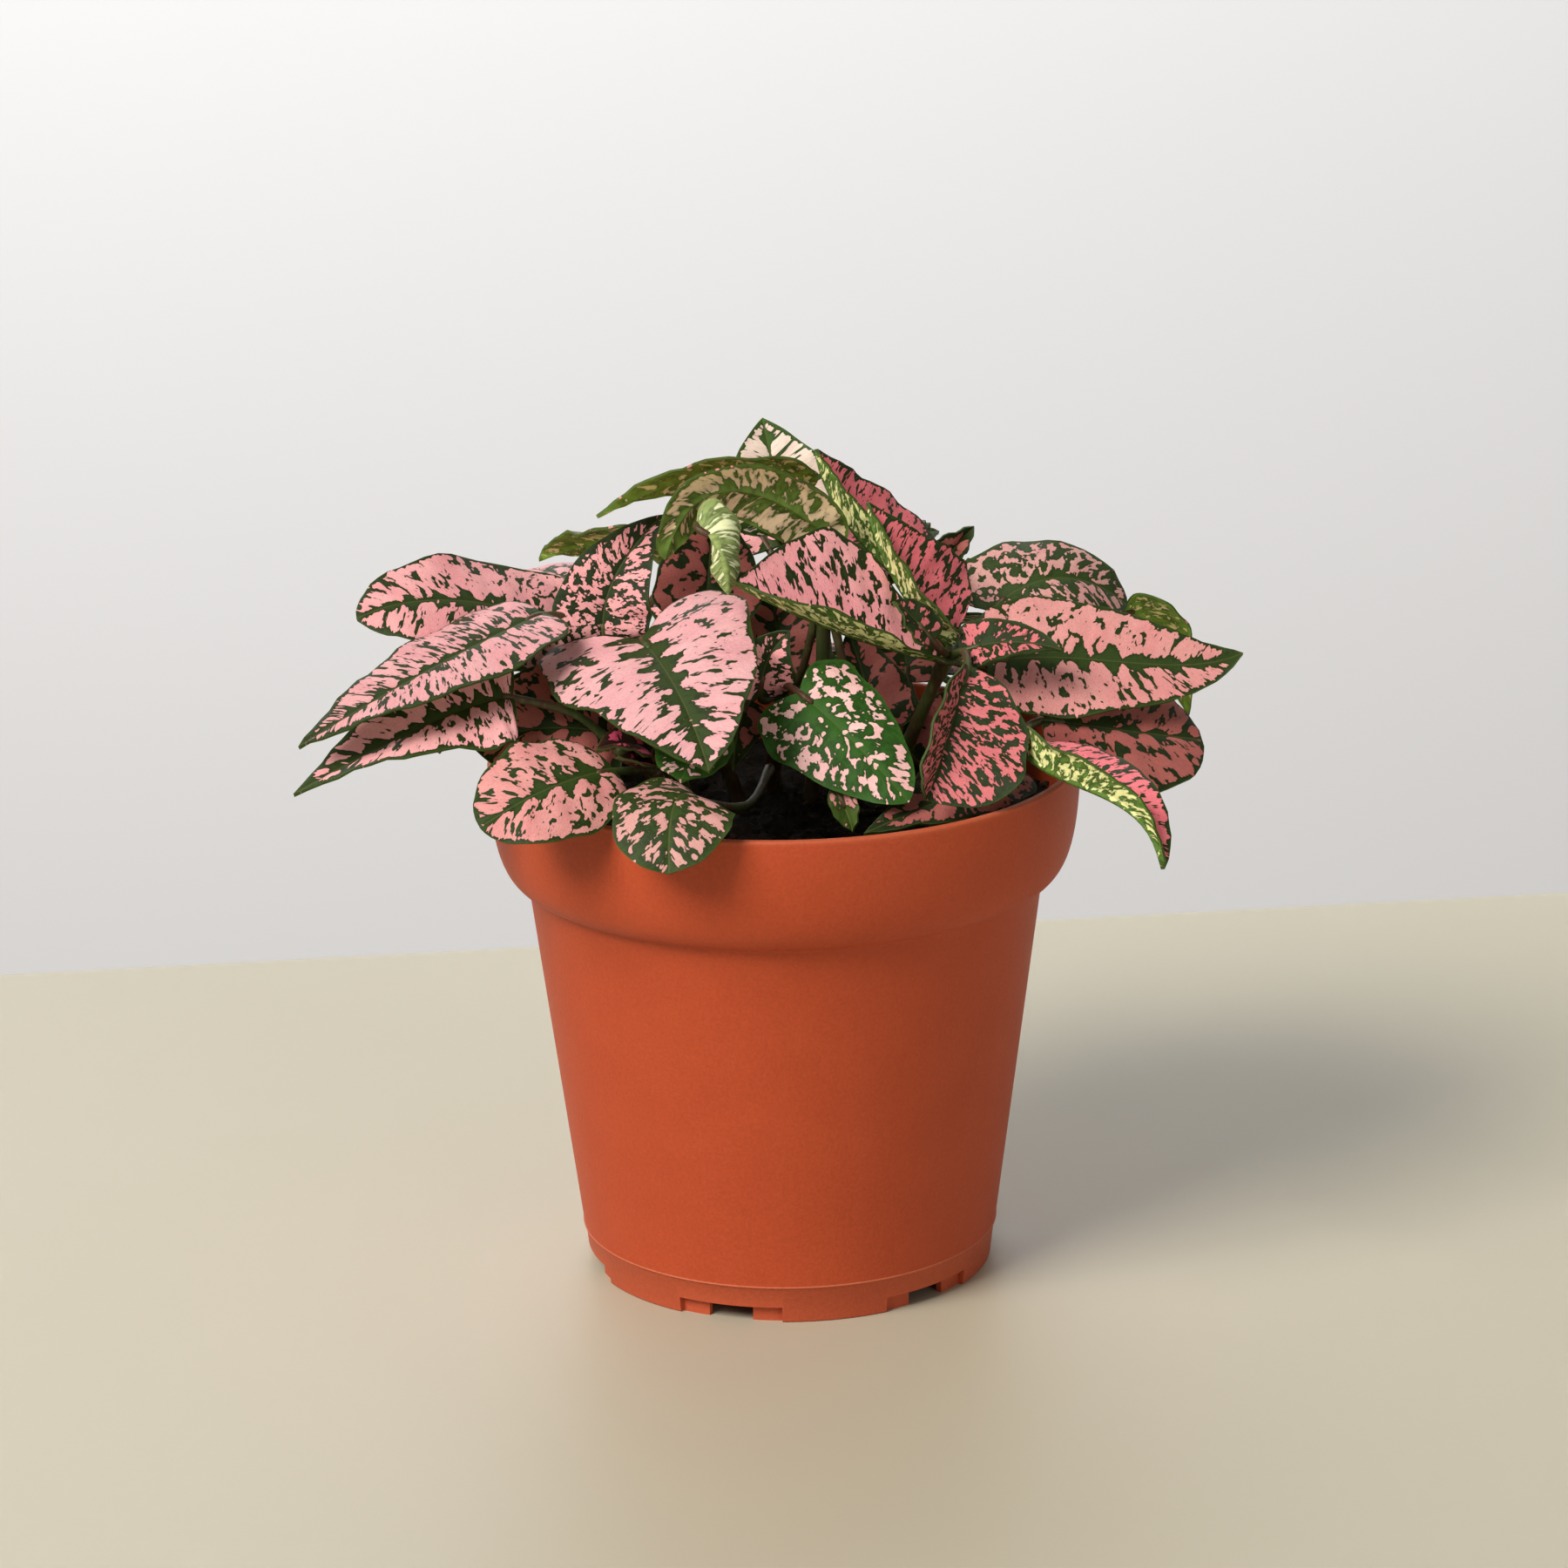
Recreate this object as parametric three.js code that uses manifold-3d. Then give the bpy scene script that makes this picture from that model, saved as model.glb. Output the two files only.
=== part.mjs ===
// Polka dot plant (Hypoestes phyllostachya) in a round nursery pot.
// Millimetres, +Z up. The origin is the middle of the pot's foot, on the surface it stands on.
import * as THREE from "three";
import { mergeVertices } from "three/addons/utils/BufferGeometryUtils.js";
import Module from "manifold-3d";

const wasm = await Module();
wasm.setup();

// ---- driving dimensions ----

const ROUND = 36; // facets round the pot and the soil
const POT_HEIGHT = 96.2;
const RIM_RADIUS = 54;
const BAND_FOOT_RADIUS = 47.55; // where the rim band turns in to meet the wall
const BAND_FOOT_Z = 74.3;
const FLASH_RADIUS = 38.8; // fine raised line left by the mould
const FLASH_Z = 7.1;
const FOOT_RADIUS = 37.4;
const WALL = 1.2;
const FLOOR_Z = 3.5; // underside of the pot's floor
const FLOOR_THICK = 1.6;
const FOOT_RING_THICK = 2.2;
const NOTCHES = 6;
const FIRST_NOTCH_DEG = -17.5; // from the front, towards +X
const NOTCH_DEG = 13;
const NOTCH_HEIGHT = 2.4;
const RECESS_DEG = 30;
const RECESS_HEIGHT = 3;
const RECESS_DEPTH = 1;
const DRAIN_RADIUS = 4;
const DRAIN_RING = 26;
const DRAIN_SIDES = 12;
const CUT_CLEAR = 1; // how far a cutting block runs on past what it cuts
const SOIL_TOP = 85.5;
const SOIL_GAP = 0.3; // between the soil and what it touches
const STEM_RADIUS = 1.4;
const STEM_SIDES = 6;
const HOLE_RADIUS = 2;
const HOLE_SIDES = 6;
const PETIOLE_RADIUS = 0.75;
const PETIOLE_SIDES = 4;
const PETIOLE_SUNK = 4; // how far a leaf stalk runs on under its blade
const BLADE_THICK = 0.7;
const LOBE_ROWS = 1.3; // crowds a blade's rows towards its lobes
const ROLLED_DEG = 80; // blades that curl more than this in all take more columns
const ROWS = [[20, 5], [32, 6], [Infinity, 7]]; // rows of a blade by its greatest length

// ---- materials ----

function finish(color, roughness) {
  return new THREE.MeshStandardMaterial({ color, roughness, metalness: 0 });
}

// ---- solids ----

// A closed geometry with its doubled corners merged and its collapsed triangles dropped.
function welded(geometry) {
  const bare = geometry.clone();
  for (const name of Object.keys(bare.attributes)) {
    if (name !== "position") bare.deleteAttribute(name);
  }
  const merged = mergeVertices(bare, 1e-4);
  const corners = merged.index.array;
  const kept = [];
  for (let i = 0; i < corners.length; i += 3) {
    const [a, b, c] = corners.subarray(i, i + 3);
    if (a !== b && b !== c && c !== a) kept.push(a, b, c);
  }
  merged.setIndex(kept);
  return merged;
}

function solid(geometry) {
  const closed = welded(geometry);
  return new wasm.Manifold(
    new wasm.Mesh({
      numProp: 3,
      vertProperties: new Float32Array(closed.attributes.position.array),
      triVerts: new Uint32Array(closed.index.array),
    }),
  );
}

function namedMesh(name, made, material) {
  const { vertProperties, triVerts } = made.getMesh();
  const geometry = new THREE.BufferGeometry();
  geometry.setAttribute("position", new THREE.BufferAttribute(vertProperties, 3));
  geometry.setIndex(new THREE.BufferAttribute(triVerts, 1));
  geometry.computeVertexNormals();
  const mesh = new THREE.Mesh(geometry, material);
  mesh.name = name;
  return mesh;
}

// A profile of [radius, height] points turned about the Z axis.
function turned(profile) {
  const points = profile.map(([r, z]) => new THREE.Vector2(r, z));
  return new THREE.LatheGeometry(points, ROUND).rotateX(Math.PI / 2);
}

// A block between two radii, centred on an azimuth measured from the front towards +X.
function sector(inner, outer, azimuthDeg, widthDeg, z, height) {
  const middle = THREE.MathUtils.degToRad(azimuthDeg - 90);
  const half = THREE.MathUtils.degToRad(widthDeg / 2);
  const shape = new THREE.Shape();
  shape.absarc(0, 0, outer, middle - half, middle + half, false);
  shape.absarc(0, 0, inner, middle + half, middle - half, true);
  const settings = { depth: height, bevelEnabled: false, curveSegments: 6 };
  return solid(new THREE.ExtrudeGeometry(shape, settings).translate(0, 0, z));
}

function upright(radius, x, y, z, height, sides) {
  const rod = new THREE.CylinderGeometry(radius, radius, height, sides);
  return solid(rod.rotateX(Math.PI / 2).translate(x, y, z + height / 2));
}

// ---- pot ----

// Outer radius of the plain wall between the foot and the rim band.
function wallRadius(z) {
  const share = (z - FLASH_Z) / (BAND_FOOT_Z - FLASH_Z);
  return THREE.MathUtils.lerp(FLASH_RADIUS - 0.4, BAND_FOOT_RADIUS - 0.3, share);
}

function pot() {
  const floorTop = FLOOR_Z + FLOOR_THICK;
  const outside = [
    [FOOT_RADIUS, 0],
    [FOOT_RADIUS + 0.7, FLASH_Z - 0.6],
    [FLASH_RADIUS, FLASH_Z - 0.2],
    [FLASH_RADIUS, FLASH_Z + 0.2],
    [wallRadius(FLASH_Z + 0.6), FLASH_Z + 0.6],
    [BAND_FOOT_RADIUS - 0.3, BAND_FOOT_Z],
    [BAND_FOOT_RADIUS, BAND_FOOT_Z + 0.1],
    [49.8, 75.3],
    [51.6, 77.3],
    [52.7, 80],
    [53.4, 84],
    [RIM_RADIUS - 0.1, 90],
    [RIM_RADIUS, POT_HEIGHT - 0.4],
    [RIM_RADIUS - 0.3, POT_HEIGHT],
  ];
  const inside = [
    [RIM_RADIUS - 1.1, POT_HEIGHT],
    [RIM_RADIUS - 1.4, POT_HEIGHT - 0.5],
    [RIM_RADIUS - 1.6, 88],
    [51.2, 79],
    [wallRadius(BAND_FOOT_Z) - WALL, BAND_FOOT_Z - 1],
    [wallRadius(floorTop) - WALL, floorTop],
    [0, floorTop],
    [0, FLOOR_Z],
    [FOOT_RADIUS - FOOT_RING_THICK, FLOOR_Z],
    [FOOT_RADIUS - FOOT_RING_THICK, 0],
  ];
  let made = solid(turned([...outside, ...inside, outside[0]]));
  for (let i = 0; i < NOTCHES; i += 1) {
    const azimuth = FIRST_NOTCH_DEG + (i * 360) / NOTCHES;
    const a = THREE.MathUtils.degToRad(azimuth);
    const inner = FOOT_RADIUS - FOOT_RING_THICK - 2 * CUT_CLEAR;
    const outer = FLASH_RADIUS + CUT_CLEAR;
    const recessFloor = FOOT_RADIUS - RECESS_DEPTH;
    const drainX = DRAIN_RING * Math.sin(a);
    const drainY = -DRAIN_RING * Math.cos(a);
    const drainHeight = FLOOR_THICK + 2 * CUT_CLEAR;
    made = made
      .subtract(sector(inner, outer, azimuth, NOTCH_DEG, -CUT_CLEAR, NOTCH_HEIGHT + CUT_CLEAR))
      .subtract(sector(recessFloor, outer, azimuth, RECESS_DEG, -CUT_CLEAR, RECESS_HEIGHT + CUT_CLEAR))
      .subtract(upright(DRAIN_RADIUS, drainX, drainY, FLOOR_Z - CUT_CLEAR, drainHeight, DRAIN_SIDES));
  }
  return made;
}

// ---- soil ----

// Height of the crumbly top of the soil over or under its mean level.
function soilRelief(x, y) {
  const humps = 0.9 * Math.sin(0.31 * x + 0.6) * Math.cos(0.27 * y - 0.4);
  const crumbs = 0.6 * Math.sin(0.83 * x + 0.47 * y);
  return humps + crumbs;
}

function soil(stemFeet) {
  const bottom = FLOOR_Z + FLOOR_THICK + SOIL_GAP;
  const profile = [
    [0, bottom],
    [wallRadius(bottom) - WALL - SOIL_GAP - 0.2, bottom],
    [wallRadius(BAND_FOOT_Z) - WALL - SOIL_GAP - 0.4, BAND_FOOT_Z - 1],
    [50.6, 80],
    [51.2, SOIL_TOP - 2],
    [49.5, SOIL_TOP - 1],
    [38, SOIL_TOP],
    [26, SOIL_TOP],
    [13, SOIL_TOP],
    [0, SOIL_TOP],
  ];
  const geometry = turned(profile);
  const place = geometry.attributes.position;
  for (let i = 0; i < place.count; i += 1) {
    if (place.getZ(i) > SOIL_TOP - 1.5) {
      place.setZ(i, place.getZ(i) + soilRelief(place.getX(i), place.getY(i)));
    }
  }
  return stemFeet.reduce((made, hole) => made.subtract(hole), solid(geometry));
}

// ---- leaves ----

// Blade outlines as the two inner handles of a curve from the stalk to the tip, on one side:
// [reach sideways, reach along], as shares of the blade's width and length.
const OUTLINES = {
  heart: [[1, -0.68], [0.42, 0.78]],
  broad: [[1, -0.45], [0.62, 0.9]],
  ovate: [[0.88, -0.12], [0.34, 0.72]],
  blunt: [[0.8, -0.12], [0.72, 0.98]],
  spoon: [[0.5, 0.02], [0.85, 0.95]],
  obovate: [[0.35, 0.3], [0.95, 0.62]],
  lance: [[0.8, 0.06], [0.42, 0.72]],
};

function cubic(a, b, c, d, t) {
  const s = 1 - t;
  return s * s * s * a + 3 * s * s * t * b + 3 * s * t * t * c + t * t * t * d;
}

// The curve through two, three or four points of a midrib, as a three.js curve.
function ribCurve(points) {
  const p = points.map((q) => new THREE.Vector3(...q));
  if (p.length === 3) {
    const middle = p[1].clone().multiplyScalar(2).addScaledVector(p[0], -0.5).addScaledVector(p[2], -0.5);
    return new THREE.QuadraticBezierCurve3(p[0], middle, p[2]);
  }
  const mix = (a, b, c, d) =>
    new THREE.Vector3()
      .addScaledVector(p[0], a / 6)
      .addScaledVector(p[1], b / 6)
      .addScaledVector(p[2], c / 6)
      .addScaledVector(p[3], d / 6);
  return new THREE.CubicBezierCurve3(p[0], mix(-5, 18, -9, 2), mix(2, -9, 18, -5), p[3]);
}

// The midrib's point and its three directions at a share of its length: along the rib,
// to the right as the upper face is seen with the tip up, and out of the upper face.
function ribFrame(leaf, curve, along) {
  const t = THREE.MathUtils.clamp(along, 0, 1);
  const point = curve.getPoint(t);
  const tangent = curve.getTangent(t);
  if (along < 0) point.addScaledVector(tangent, along * leaf.length);
  const turn = THREE.MathUtils.degToRad(leaf.twist * (t - 0.5));
  const face = new THREE.Vector3(...leaf.face).applyAxisAngle(tangent, turn);
  const right = new THREE.Vector3().crossVectors(tangent, face).normalize();
  const out = new THREE.Vector3().crossVectors(right, tangent).normalize();
  return { point, tangent, right, out };
}

// A point of the flat blade, x to the right and y along in mm, carried onto the bent blade.
// Each half leaves the rib at its fold angle and goes on turning by its curl angle, and a half
// that is narrower than the other states its share of the full half width.
function bentPoint(leaf, curve, x, y) {
  const along = y / leaf.length;
  const { point, right, out } = ribFrame(leaf, curve, along);
  const [foldDeg, curlDeg, share = 1] = x < 0 ? leaf.left : leaf.rightSide;
  const halfWidth = (share * leaf.width) / 2;
  const q = (2 * Math.abs(x)) / leaf.width;
  const fold = THREE.MathUtils.degToRad(foldDeg);
  const curl = THREE.MathUtils.degToRad(curlDeg) || 1e-3;
  const across = (halfWidth / curl) * (Math.sin(fold + curl * q) - Math.sin(fold));
  const lift = (halfWidth / curl) * (Math.cos(fold) - Math.cos(fold + curl * q));
  const wave = leaf.wave * q * q * Math.sin(2 * Math.PI * 1.5 * along + (x < 0 ? 0.7 : 2.9));
  return point.addScaledVector(right, Math.sign(x) * across).addScaledVector(out, lift + wave);
}

// The blade as a sheet: a flat grid whose rows sweep forward from the rib to the outline.
function bladeSheet(leaf, curve) {
  const rolled = Math.abs(leaf.left[1]) + Math.abs(leaf.rightSide[1]) > ROLLED_DEG;
  const columns = rolled ? 6 : 4;
  const rows = ROWS.find(([longest]) => leaf.length < longest)[1];
  const sheet = new THREE.PlaneGeometry(1, 1, columns, rows);
  const place = sheet.attributes.position;
  const [shoulder, waist] = OUTLINES[leaf.outline];
  for (let i = 0; i < place.count; i += 1) {
    const side = place.getX(i) * 2;
    const t = (place.getY(i) + 0.5) ** LOBE_ROWS;
    const edgeX = cubic(0, shoulder[0], waist[0], 0, t) * leaf.width;
    const edgeY = cubic(0, shoulder[1], waist[1], 1, t) * leaf.length;
    const ribY = t ** 1.6 * leaf.length;
    const y = THREE.MathUtils.lerp(ribY, edgeY, Math.abs(side));
    const { x, y: by, z } = bentPoint(leaf, curve, side * edgeX, y);
    place.setXYZ(i, x, by, z);
  }
  return welded(sheet);
}

// A closed blade of even thickness about a sheet, with both faces split into the same triangles.
function thickened(sheet, thickness) {
  sheet.computeVertexNormals();
  const place = sheet.attributes.position;
  const normal = sheet.attributes.normal;
  const corners = Array.from(sheet.index.array);
  const points = [];
  for (const offset of [thickness / 2, -thickness / 2]) {
    for (let i = 0; i < place.count; i += 1) {
      points.push(
        place.getX(i) + offset * normal.getX(i),
        place.getY(i) + offset * normal.getY(i),
        place.getZ(i) + offset * normal.getZ(i),
      );
    }
  }
  const edges = new Map();
  const faces = [];
  for (let i = 0; i < corners.length; i += 3) {
    const [a, b, c] = corners.slice(i, i + 3);
    faces.push(a, b, c, a + place.count, c + place.count, b + place.count);
    for (const [from, to] of [[a, b], [b, c], [c, a]]) {
      if (!edges.delete(`${to} ${from}`)) edges.set(`${from} ${to}`, [from, to]);
    }
  }
  for (const [from, to] of edges.values()) {
    faces.push(from, from + place.count, to, to, from + place.count, to + place.count);
  }
  const geometry = new THREE.BufferGeometry();
  geometry.setAttribute("position", new THREE.Float32BufferAttribute(points, 3));
  geometry.setIndex(faces);
  return geometry;
}

function rod(curve, radius, sides, steps) {
  const ring = new THREE.Shape();
  for (let i = 0; i < sides; i += 1) {
    const a = (2 * Math.PI * i) / sides;
    ring[i ? "lineTo" : "moveTo"](radius * Math.cos(a), radius * Math.sin(a));
  }
  ring.closePath();
  return solid(new THREE.ExtrudeGeometry(ring, { steps, extrudePath: curve, bevelEnabled: false }));
}

// A leaf stalk, from inside the stem to a little way along the underside of the blade's rib.
function petiole(leaf, curve, stemCurve) {
  const start = stemCurve.getPoint(leaf.at);
  const { point, tangent, out } = ribFrame(leaf, curve, 0);
  const sunk = ribFrame(leaf, curve, PETIOLE_SUNK / leaf.length);
  const below = -(BLADE_THICK / 2 + 0.1);
  const end = sunk.point.addScaledVector(sunk.out, below);
  const neck = point.addScaledVector(out, below);
  const reach = start.distanceTo(neck);
  const bend = neck.clone().addScaledVector(tangent, -0.4 * reach);
  const middle = start.clone().lerp(bend, 0.6).lerp(neck, 0.1);
  const path = new THREE.CatmullRomCurve3([start, middle, neck, end]);
  return rod(path, PETIOLE_RADIUS, PETIOLE_SIDES, 4);
}

function leafSolids(leaf, stemCurve) {
  const curve = ribCurve(leaf.rib);
  const blade = solid(thickened(bladeSheet(leaf, curve), BLADE_THICK));
  return [petiole(leaf, curve, stemCurve), blade];
}

function stemCurveOf(points) {
  return new THREE.CatmullRomCurve3(points.map((p) => new THREE.Vector3(...p)));
}

function leafyStem({ path, leaves }) {
  const curve = stemCurveOf(path);
  const solids = leaves.flatMap((leaf) => leafSolids(leaf, curve));
  return solids.reduce((made, piece) => made.add(piece), rod(curve, STEM_RADIUS, STEM_SIDES, 8));
}

// The hole that a stem stands in, which follows the stem down and ends just under its foot.
function stemHole({ path }) {
  const [foot, next] = path.map((p) => new THREE.Vector3(...p));
  const under = foot.clone().addScaledVector(next.clone().sub(foot).normalize(), -SOIL_GAP);
  const curve = stemCurveOf([under.toArray(), ...path.slice(1)]);
  return rod(curve, HOLE_RADIUS, HOLE_SIDES, 8);
}

// A leaf: its name, where it leaves the stem as a share of the stem's length, the points of its
// midrib from the stalk to the tip, the direction its upper face looks in, the blade's width and
// outline, the [fold, curl, share] of its left and right halves in degrees, its twist, and its wave in mm.
function leaf(name, at, rib, face, width, outline, left, rightSide, twist, wave) {
  const length = ribCurve(rib).getLength();
  return { name, at, rib, face, width, outline, left, rightSide, twist, wave, length };
}

const LEAFY_STEMS = [
  {
    name: "leafy_stem_left",
    path: [[-14, 2, 73], [-21, -1, 98], [-32, -6, 121]],
    leaves: [
      leaf("left_high", 0.97, [[-41, 3, 121], [-54, -2, 126], [-66, -8, 128], [-76, -12, 126]],
        [0, -0.45, 0.9], 22, "broad", [-14, -10], [8, 0, 0.85], 0, 0.8),
      leaf("left_long", 0.97, [[-43, -10, 126], [-63, -26, 120], [-85, -38, 110]],
        [-0.1, -0.35, 0.93], 24, "ovate", [8, -10], [6, -30], 0, 0.6),
      leaf("left_upright", 1, [[-32, -7, 120], [-30, -5, 131], [-21, 2, 141]],
        [-0.1, -0.85, 0.5], 19, "ovate", [20, -10], [14, -10], 0, 0.6),
      leaf("left_below", 0.6, [[-42, 10, 104], [-54, 12, 102], [-64, 12, 94]],
        [-0.2, -0.1, 0.95], 20, "ovate", [4, -15], [4, -15], 0, 0.5),
    ],
  },
  {
    name: "leafy_stem_low_left",
    path: [[-12, -6, 73], [-20, -12, 92], [-30, -20, 104]],
    leaves: [
      leaf("left_low", 1, [[-48, -22, 114], [-62, -27, 111], [-86, -40, 102]],
        [-0.1, -0.5, 0.85], 26, "ovate", [10, 0], [12, 0], 30, 1),
      leaf("left_under", 0.9, [[-29, -17, 104], [-40, -18, 107], [-56, -20, 105]],
        [0.1, -0.8, 0.6], 25, "broad", [5, -10], [5, -10], 0, 0.6),
    ],
  },
  {
    name: "leafy_stem_heart",
    path: [[-4, 4, 73], [-12, 0, 98], [-21, -6, 119]],
    leaves: [
      leaf("big_heart", 1, [[-25, -14, 122], [-18, -34, 117], [-13, -50, 108]],
        [0.1, -0.55, 0.83], 35, "heart", [22, -20], [0, -25], 0, 0.8),
      leaf("heart_under", 0.9, [[-14, -26, 111], [-16, -34, 107], [-18, -41, 103.8]],
        [0, -0.5, 0.85], 12, "blunt", [6, -10], [6, -10], 0, 0.4),
    ],
  },
  {
    name: "leafy_stem_front",
    path: [[-1, 12, 73], [-2, 8, 90], [-1, 2, 101], [0, -8, 112]],
    leaves: [
      leaf("green_heart", 0.95, [[3, -22, 114], [12, -28, 107], [22, -34, 97]],
        [0.3, -0.83, 0.42], 19, "broad", [0, -14, 0.94], [-6, -14], 0, 0.3),
      leaf("rim_front", 0.4, [[-15, -40, 100], [-19, -51, 102.5], [-20, -61, 93]],
        [-0.1, -0.65, 0.75], 21, "spoon", [0, -14], [0, -14], 0, 0.4),
      leaf("shrivelled", 0.7, [[9, -30, 99], [11, -33, 95], [12, -35, 92]],
        [0, -0.9, 0.4], 6, "lance", [20, 10], [20, 10], 20, 0.3),
      leaf("inner_pointed", 1, [[-4, -17, 112], [-2.5, -19, 119.5], [1.5, -19, 124.5]],
        [0.2, -0.9, 0.3], 13, "ovate", [10, 0], [10, 0], 0, 0.3),
      leaf("inner_low", 0.9, [[-6, -16, 111], [-8, -20, 107], [-9, -26, 101]],
        [0.3, -0.8, 0.5], 11, "ovate", [10, 0], [10, 0], 0, 0.3),
    ],
  },
  {
    name: "leafy_stem_right",
    path: [[14, 3, 73], [22, 0, 96], [30, -7, 117]],
    leaves: [
      leaf("centre_rolled", 1, [[30, -10, 116], [11, -18, 124], [-8, -24, 135]],
        [0, -0.8, 0.6], 37, "obovate", [60, 60, 0.42], [0, -15], 0, 0.4),
      leaf("crest_back", 0.95, [[27, 2, 124], [13, 3, 138], [7, 5, 152]],
        [0.5, -0.6, 0.6], 33, "ovate", [80, 30, 0.4], [0, -15], 0, 0.4),
      leaf("crest_front", 0.97, [[30, -5, 118], [21, -6, 130], [16, -3, 144]],
        [0.35, -0.75, 0.55], 33, "ovate", [80, 30, 0.4], [0, -15], 0, 0.4),
      leaf("apex_small", 1, [[27, -14, 121], [23, -15, 126], [20, -16, 129]],
        [0, -0.6, 0.8], 8, "ovate", [15, 0], [15, 0], 0, 0.2),
      leaf("right_long", 0.97, [[37, -4, 114], [54, -2, 114], [70, 0, 112], [84, 4, 113]],
        [0, -0.6, 0.8], 27, "ovate", [12, -15], [2, -10], 0, 0.6),
      leaf("right_small", 1, [[32, -10, 118], [41, -12, 120], [50, -14, 119]],
        [0.1, -0.6, 0.8], 11, "ovate", [10, 0], [10, 0], 0, 0.3),
      leaf("right_drooping", 0.95, [[33, -20, 118], [29, -31, 108], [25, -38, 98.5]],
        [0.05, -0.85, 0.45], 29, "spoon", [0, 15], [50, 20, 0.42], 0, 0.4),
      leaf("right_high", 0.95, [[38, 10, 120], [51, 14, 125], [64, 20, 118]],
        [0, -0.55, 0.85], 20, "broad", [4, -15], [4, -15], 0, 0.5),
      leaf("inner_shade", 0.5, [[29, 6, 92], [30, 6.5, 100], [31, 7, 106.5]],
        [-0.1, -0.9, 0.4], 17, "ovate", [5, 0], [5, 0], 0, 0.3),
      leaf("right_stub", 0.95, [[38, 16, 120], [35, 18, 125], [34, 20, 127]],
        [0, -0.7, 0.5], 8, "ovate", [10, 0], [10, 0], 0, 0.2),
    ],
  },
  {
    name: "leafy_stem_low_right",
    path: [[20, -6, 73], [32, -9, 90], [42, -12, 101]],
    leaves: [
      leaf("right_low", 1, [[47, -10, 105], [62, -8, 102], [76, -4, 99]],
        [0, -0.55, 0.83], 25, "blunt", [4, -15], [4, -15], 0, 0.5),
      leaf("right_hanging", 1, [[42, -26, 105], [50, -38, 102], [60, -46, 99], [66, -50, 89]],
        [0.2, -0.5, 0.8], 26, "ovate", [2, -15], [80, 30, 0.5], 0, 0.4),
      leaf("rim_right", 0.8, [[42, -18, 98], [29, -28, 96], [14, -36, 92]],
        [0, -0.5, 0.85], 16, "ovate", [4, -10], [4, -10], 0, 0.4),
    ],
  },
  {
    name: "leafy_stem_top",
    path: [[3, 4, 73], [7, 6, 104], [8, 5, 132], [10, 3, 139]],
    leaves: [
      leaf("top_long", 1, [[6, 8, 144], [-11, 2, 149], [-33, -6, 143]],
        [0, 0.62, 0.78], 17, "lance", [0, -15], [0, -15], 0, 0.4),
      leaf("top_arch", 1, [[10, -2, 136], [0, -6, 145], [-12, -10, 148], [-21, -15, 137]],
        [-0.3, 0.8, 0.5], 13, "blunt", [0, -10, 0.9], [0, -10, 0.9], 0, 0.3),
      leaf("top_roll", 0.9, [[-14.5, -17, 143.8], [-10.5, -22, 140], [-9.5, -22, 132.5]],
        [-0.1, 0.9, 0.3], 15, "broad", [20, 90, 0.8], [20, 90, 0.8], 0, 0),
      leaf("top_tip", 0.97, [[2, 17, 135], [-1, 19, 145], [-3, 22, 154]],
        [0, -0.9, 0.4], 22, "ovate", [10, 0], [10, 0], 0, 0.5),
      leaf("crown_behind", 0.95, [[14, 17, 130], [20, 26, 133], [28, 34, 129]],
        [0.1, 0.2, 0.95], 20, "ovate", [4, -15], [4, -15], 0, 0.5),
      leaf("inner_arch", 0.97, [[7, 6, 133], [0, 5, 138], [-8, 4, 141]],
        [0.2, -0.8, 0.5], 12, "ovate", [10, 40], [10, 0], 0, 0.3),
      leaf("inner_right", 0.6, [[16, 3, 100], [15, 6, 108], [12, 9, 117]],
        [0, -0.9, 0.4], 18, "ovate", [5, 0], [5, 0], 0, 0.3),
      leaf("inner_middle", 0.6, [[0, 12, 106], [-1, 15, 116], [-2, 17, 127]],
        [0, -0.9, 0.4], 21, "ovate", [5, 0], [5, 0], 0, 0.3),
    ],
  },
  {
    name: "leafy_shoot_rim_left",
    path: [[-18, -14, 73], [-21, -20, 90], [-23, -26, 102]],
    leaves: [
      leaf("rim_left", 0.95, [[-30, -35, 104], [-41, -44, 103.5], [-53, -49, 98]],
        [-0.15, -0.7, 0.7], 24, "blunt", [0, -15, 0.78], [0, -15, 0.88], 0, 0.5),
      leaf("bud_left", 1, [[-24, -28, 105], [-28, -32, 108], [-33, -36, 108]],
        [0, -0.6, 0.8], 9, "ovate", [20, 0], [20, 0], 0, 0.2),
      leaf("bud_right", 1, [[-23, -26, 105], [-25, -31, 104], [-29, -36, 107]],
        [0.2, -0.4, 0.9], 9, "ovate", [20, 0], [20, 0], 0, 0.2),
    ],
  },
  {
    name: "leafy_stem_back_right",
    path: [[18, 16, 73], [32, 22, 94], [46, 27, 108]],
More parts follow.
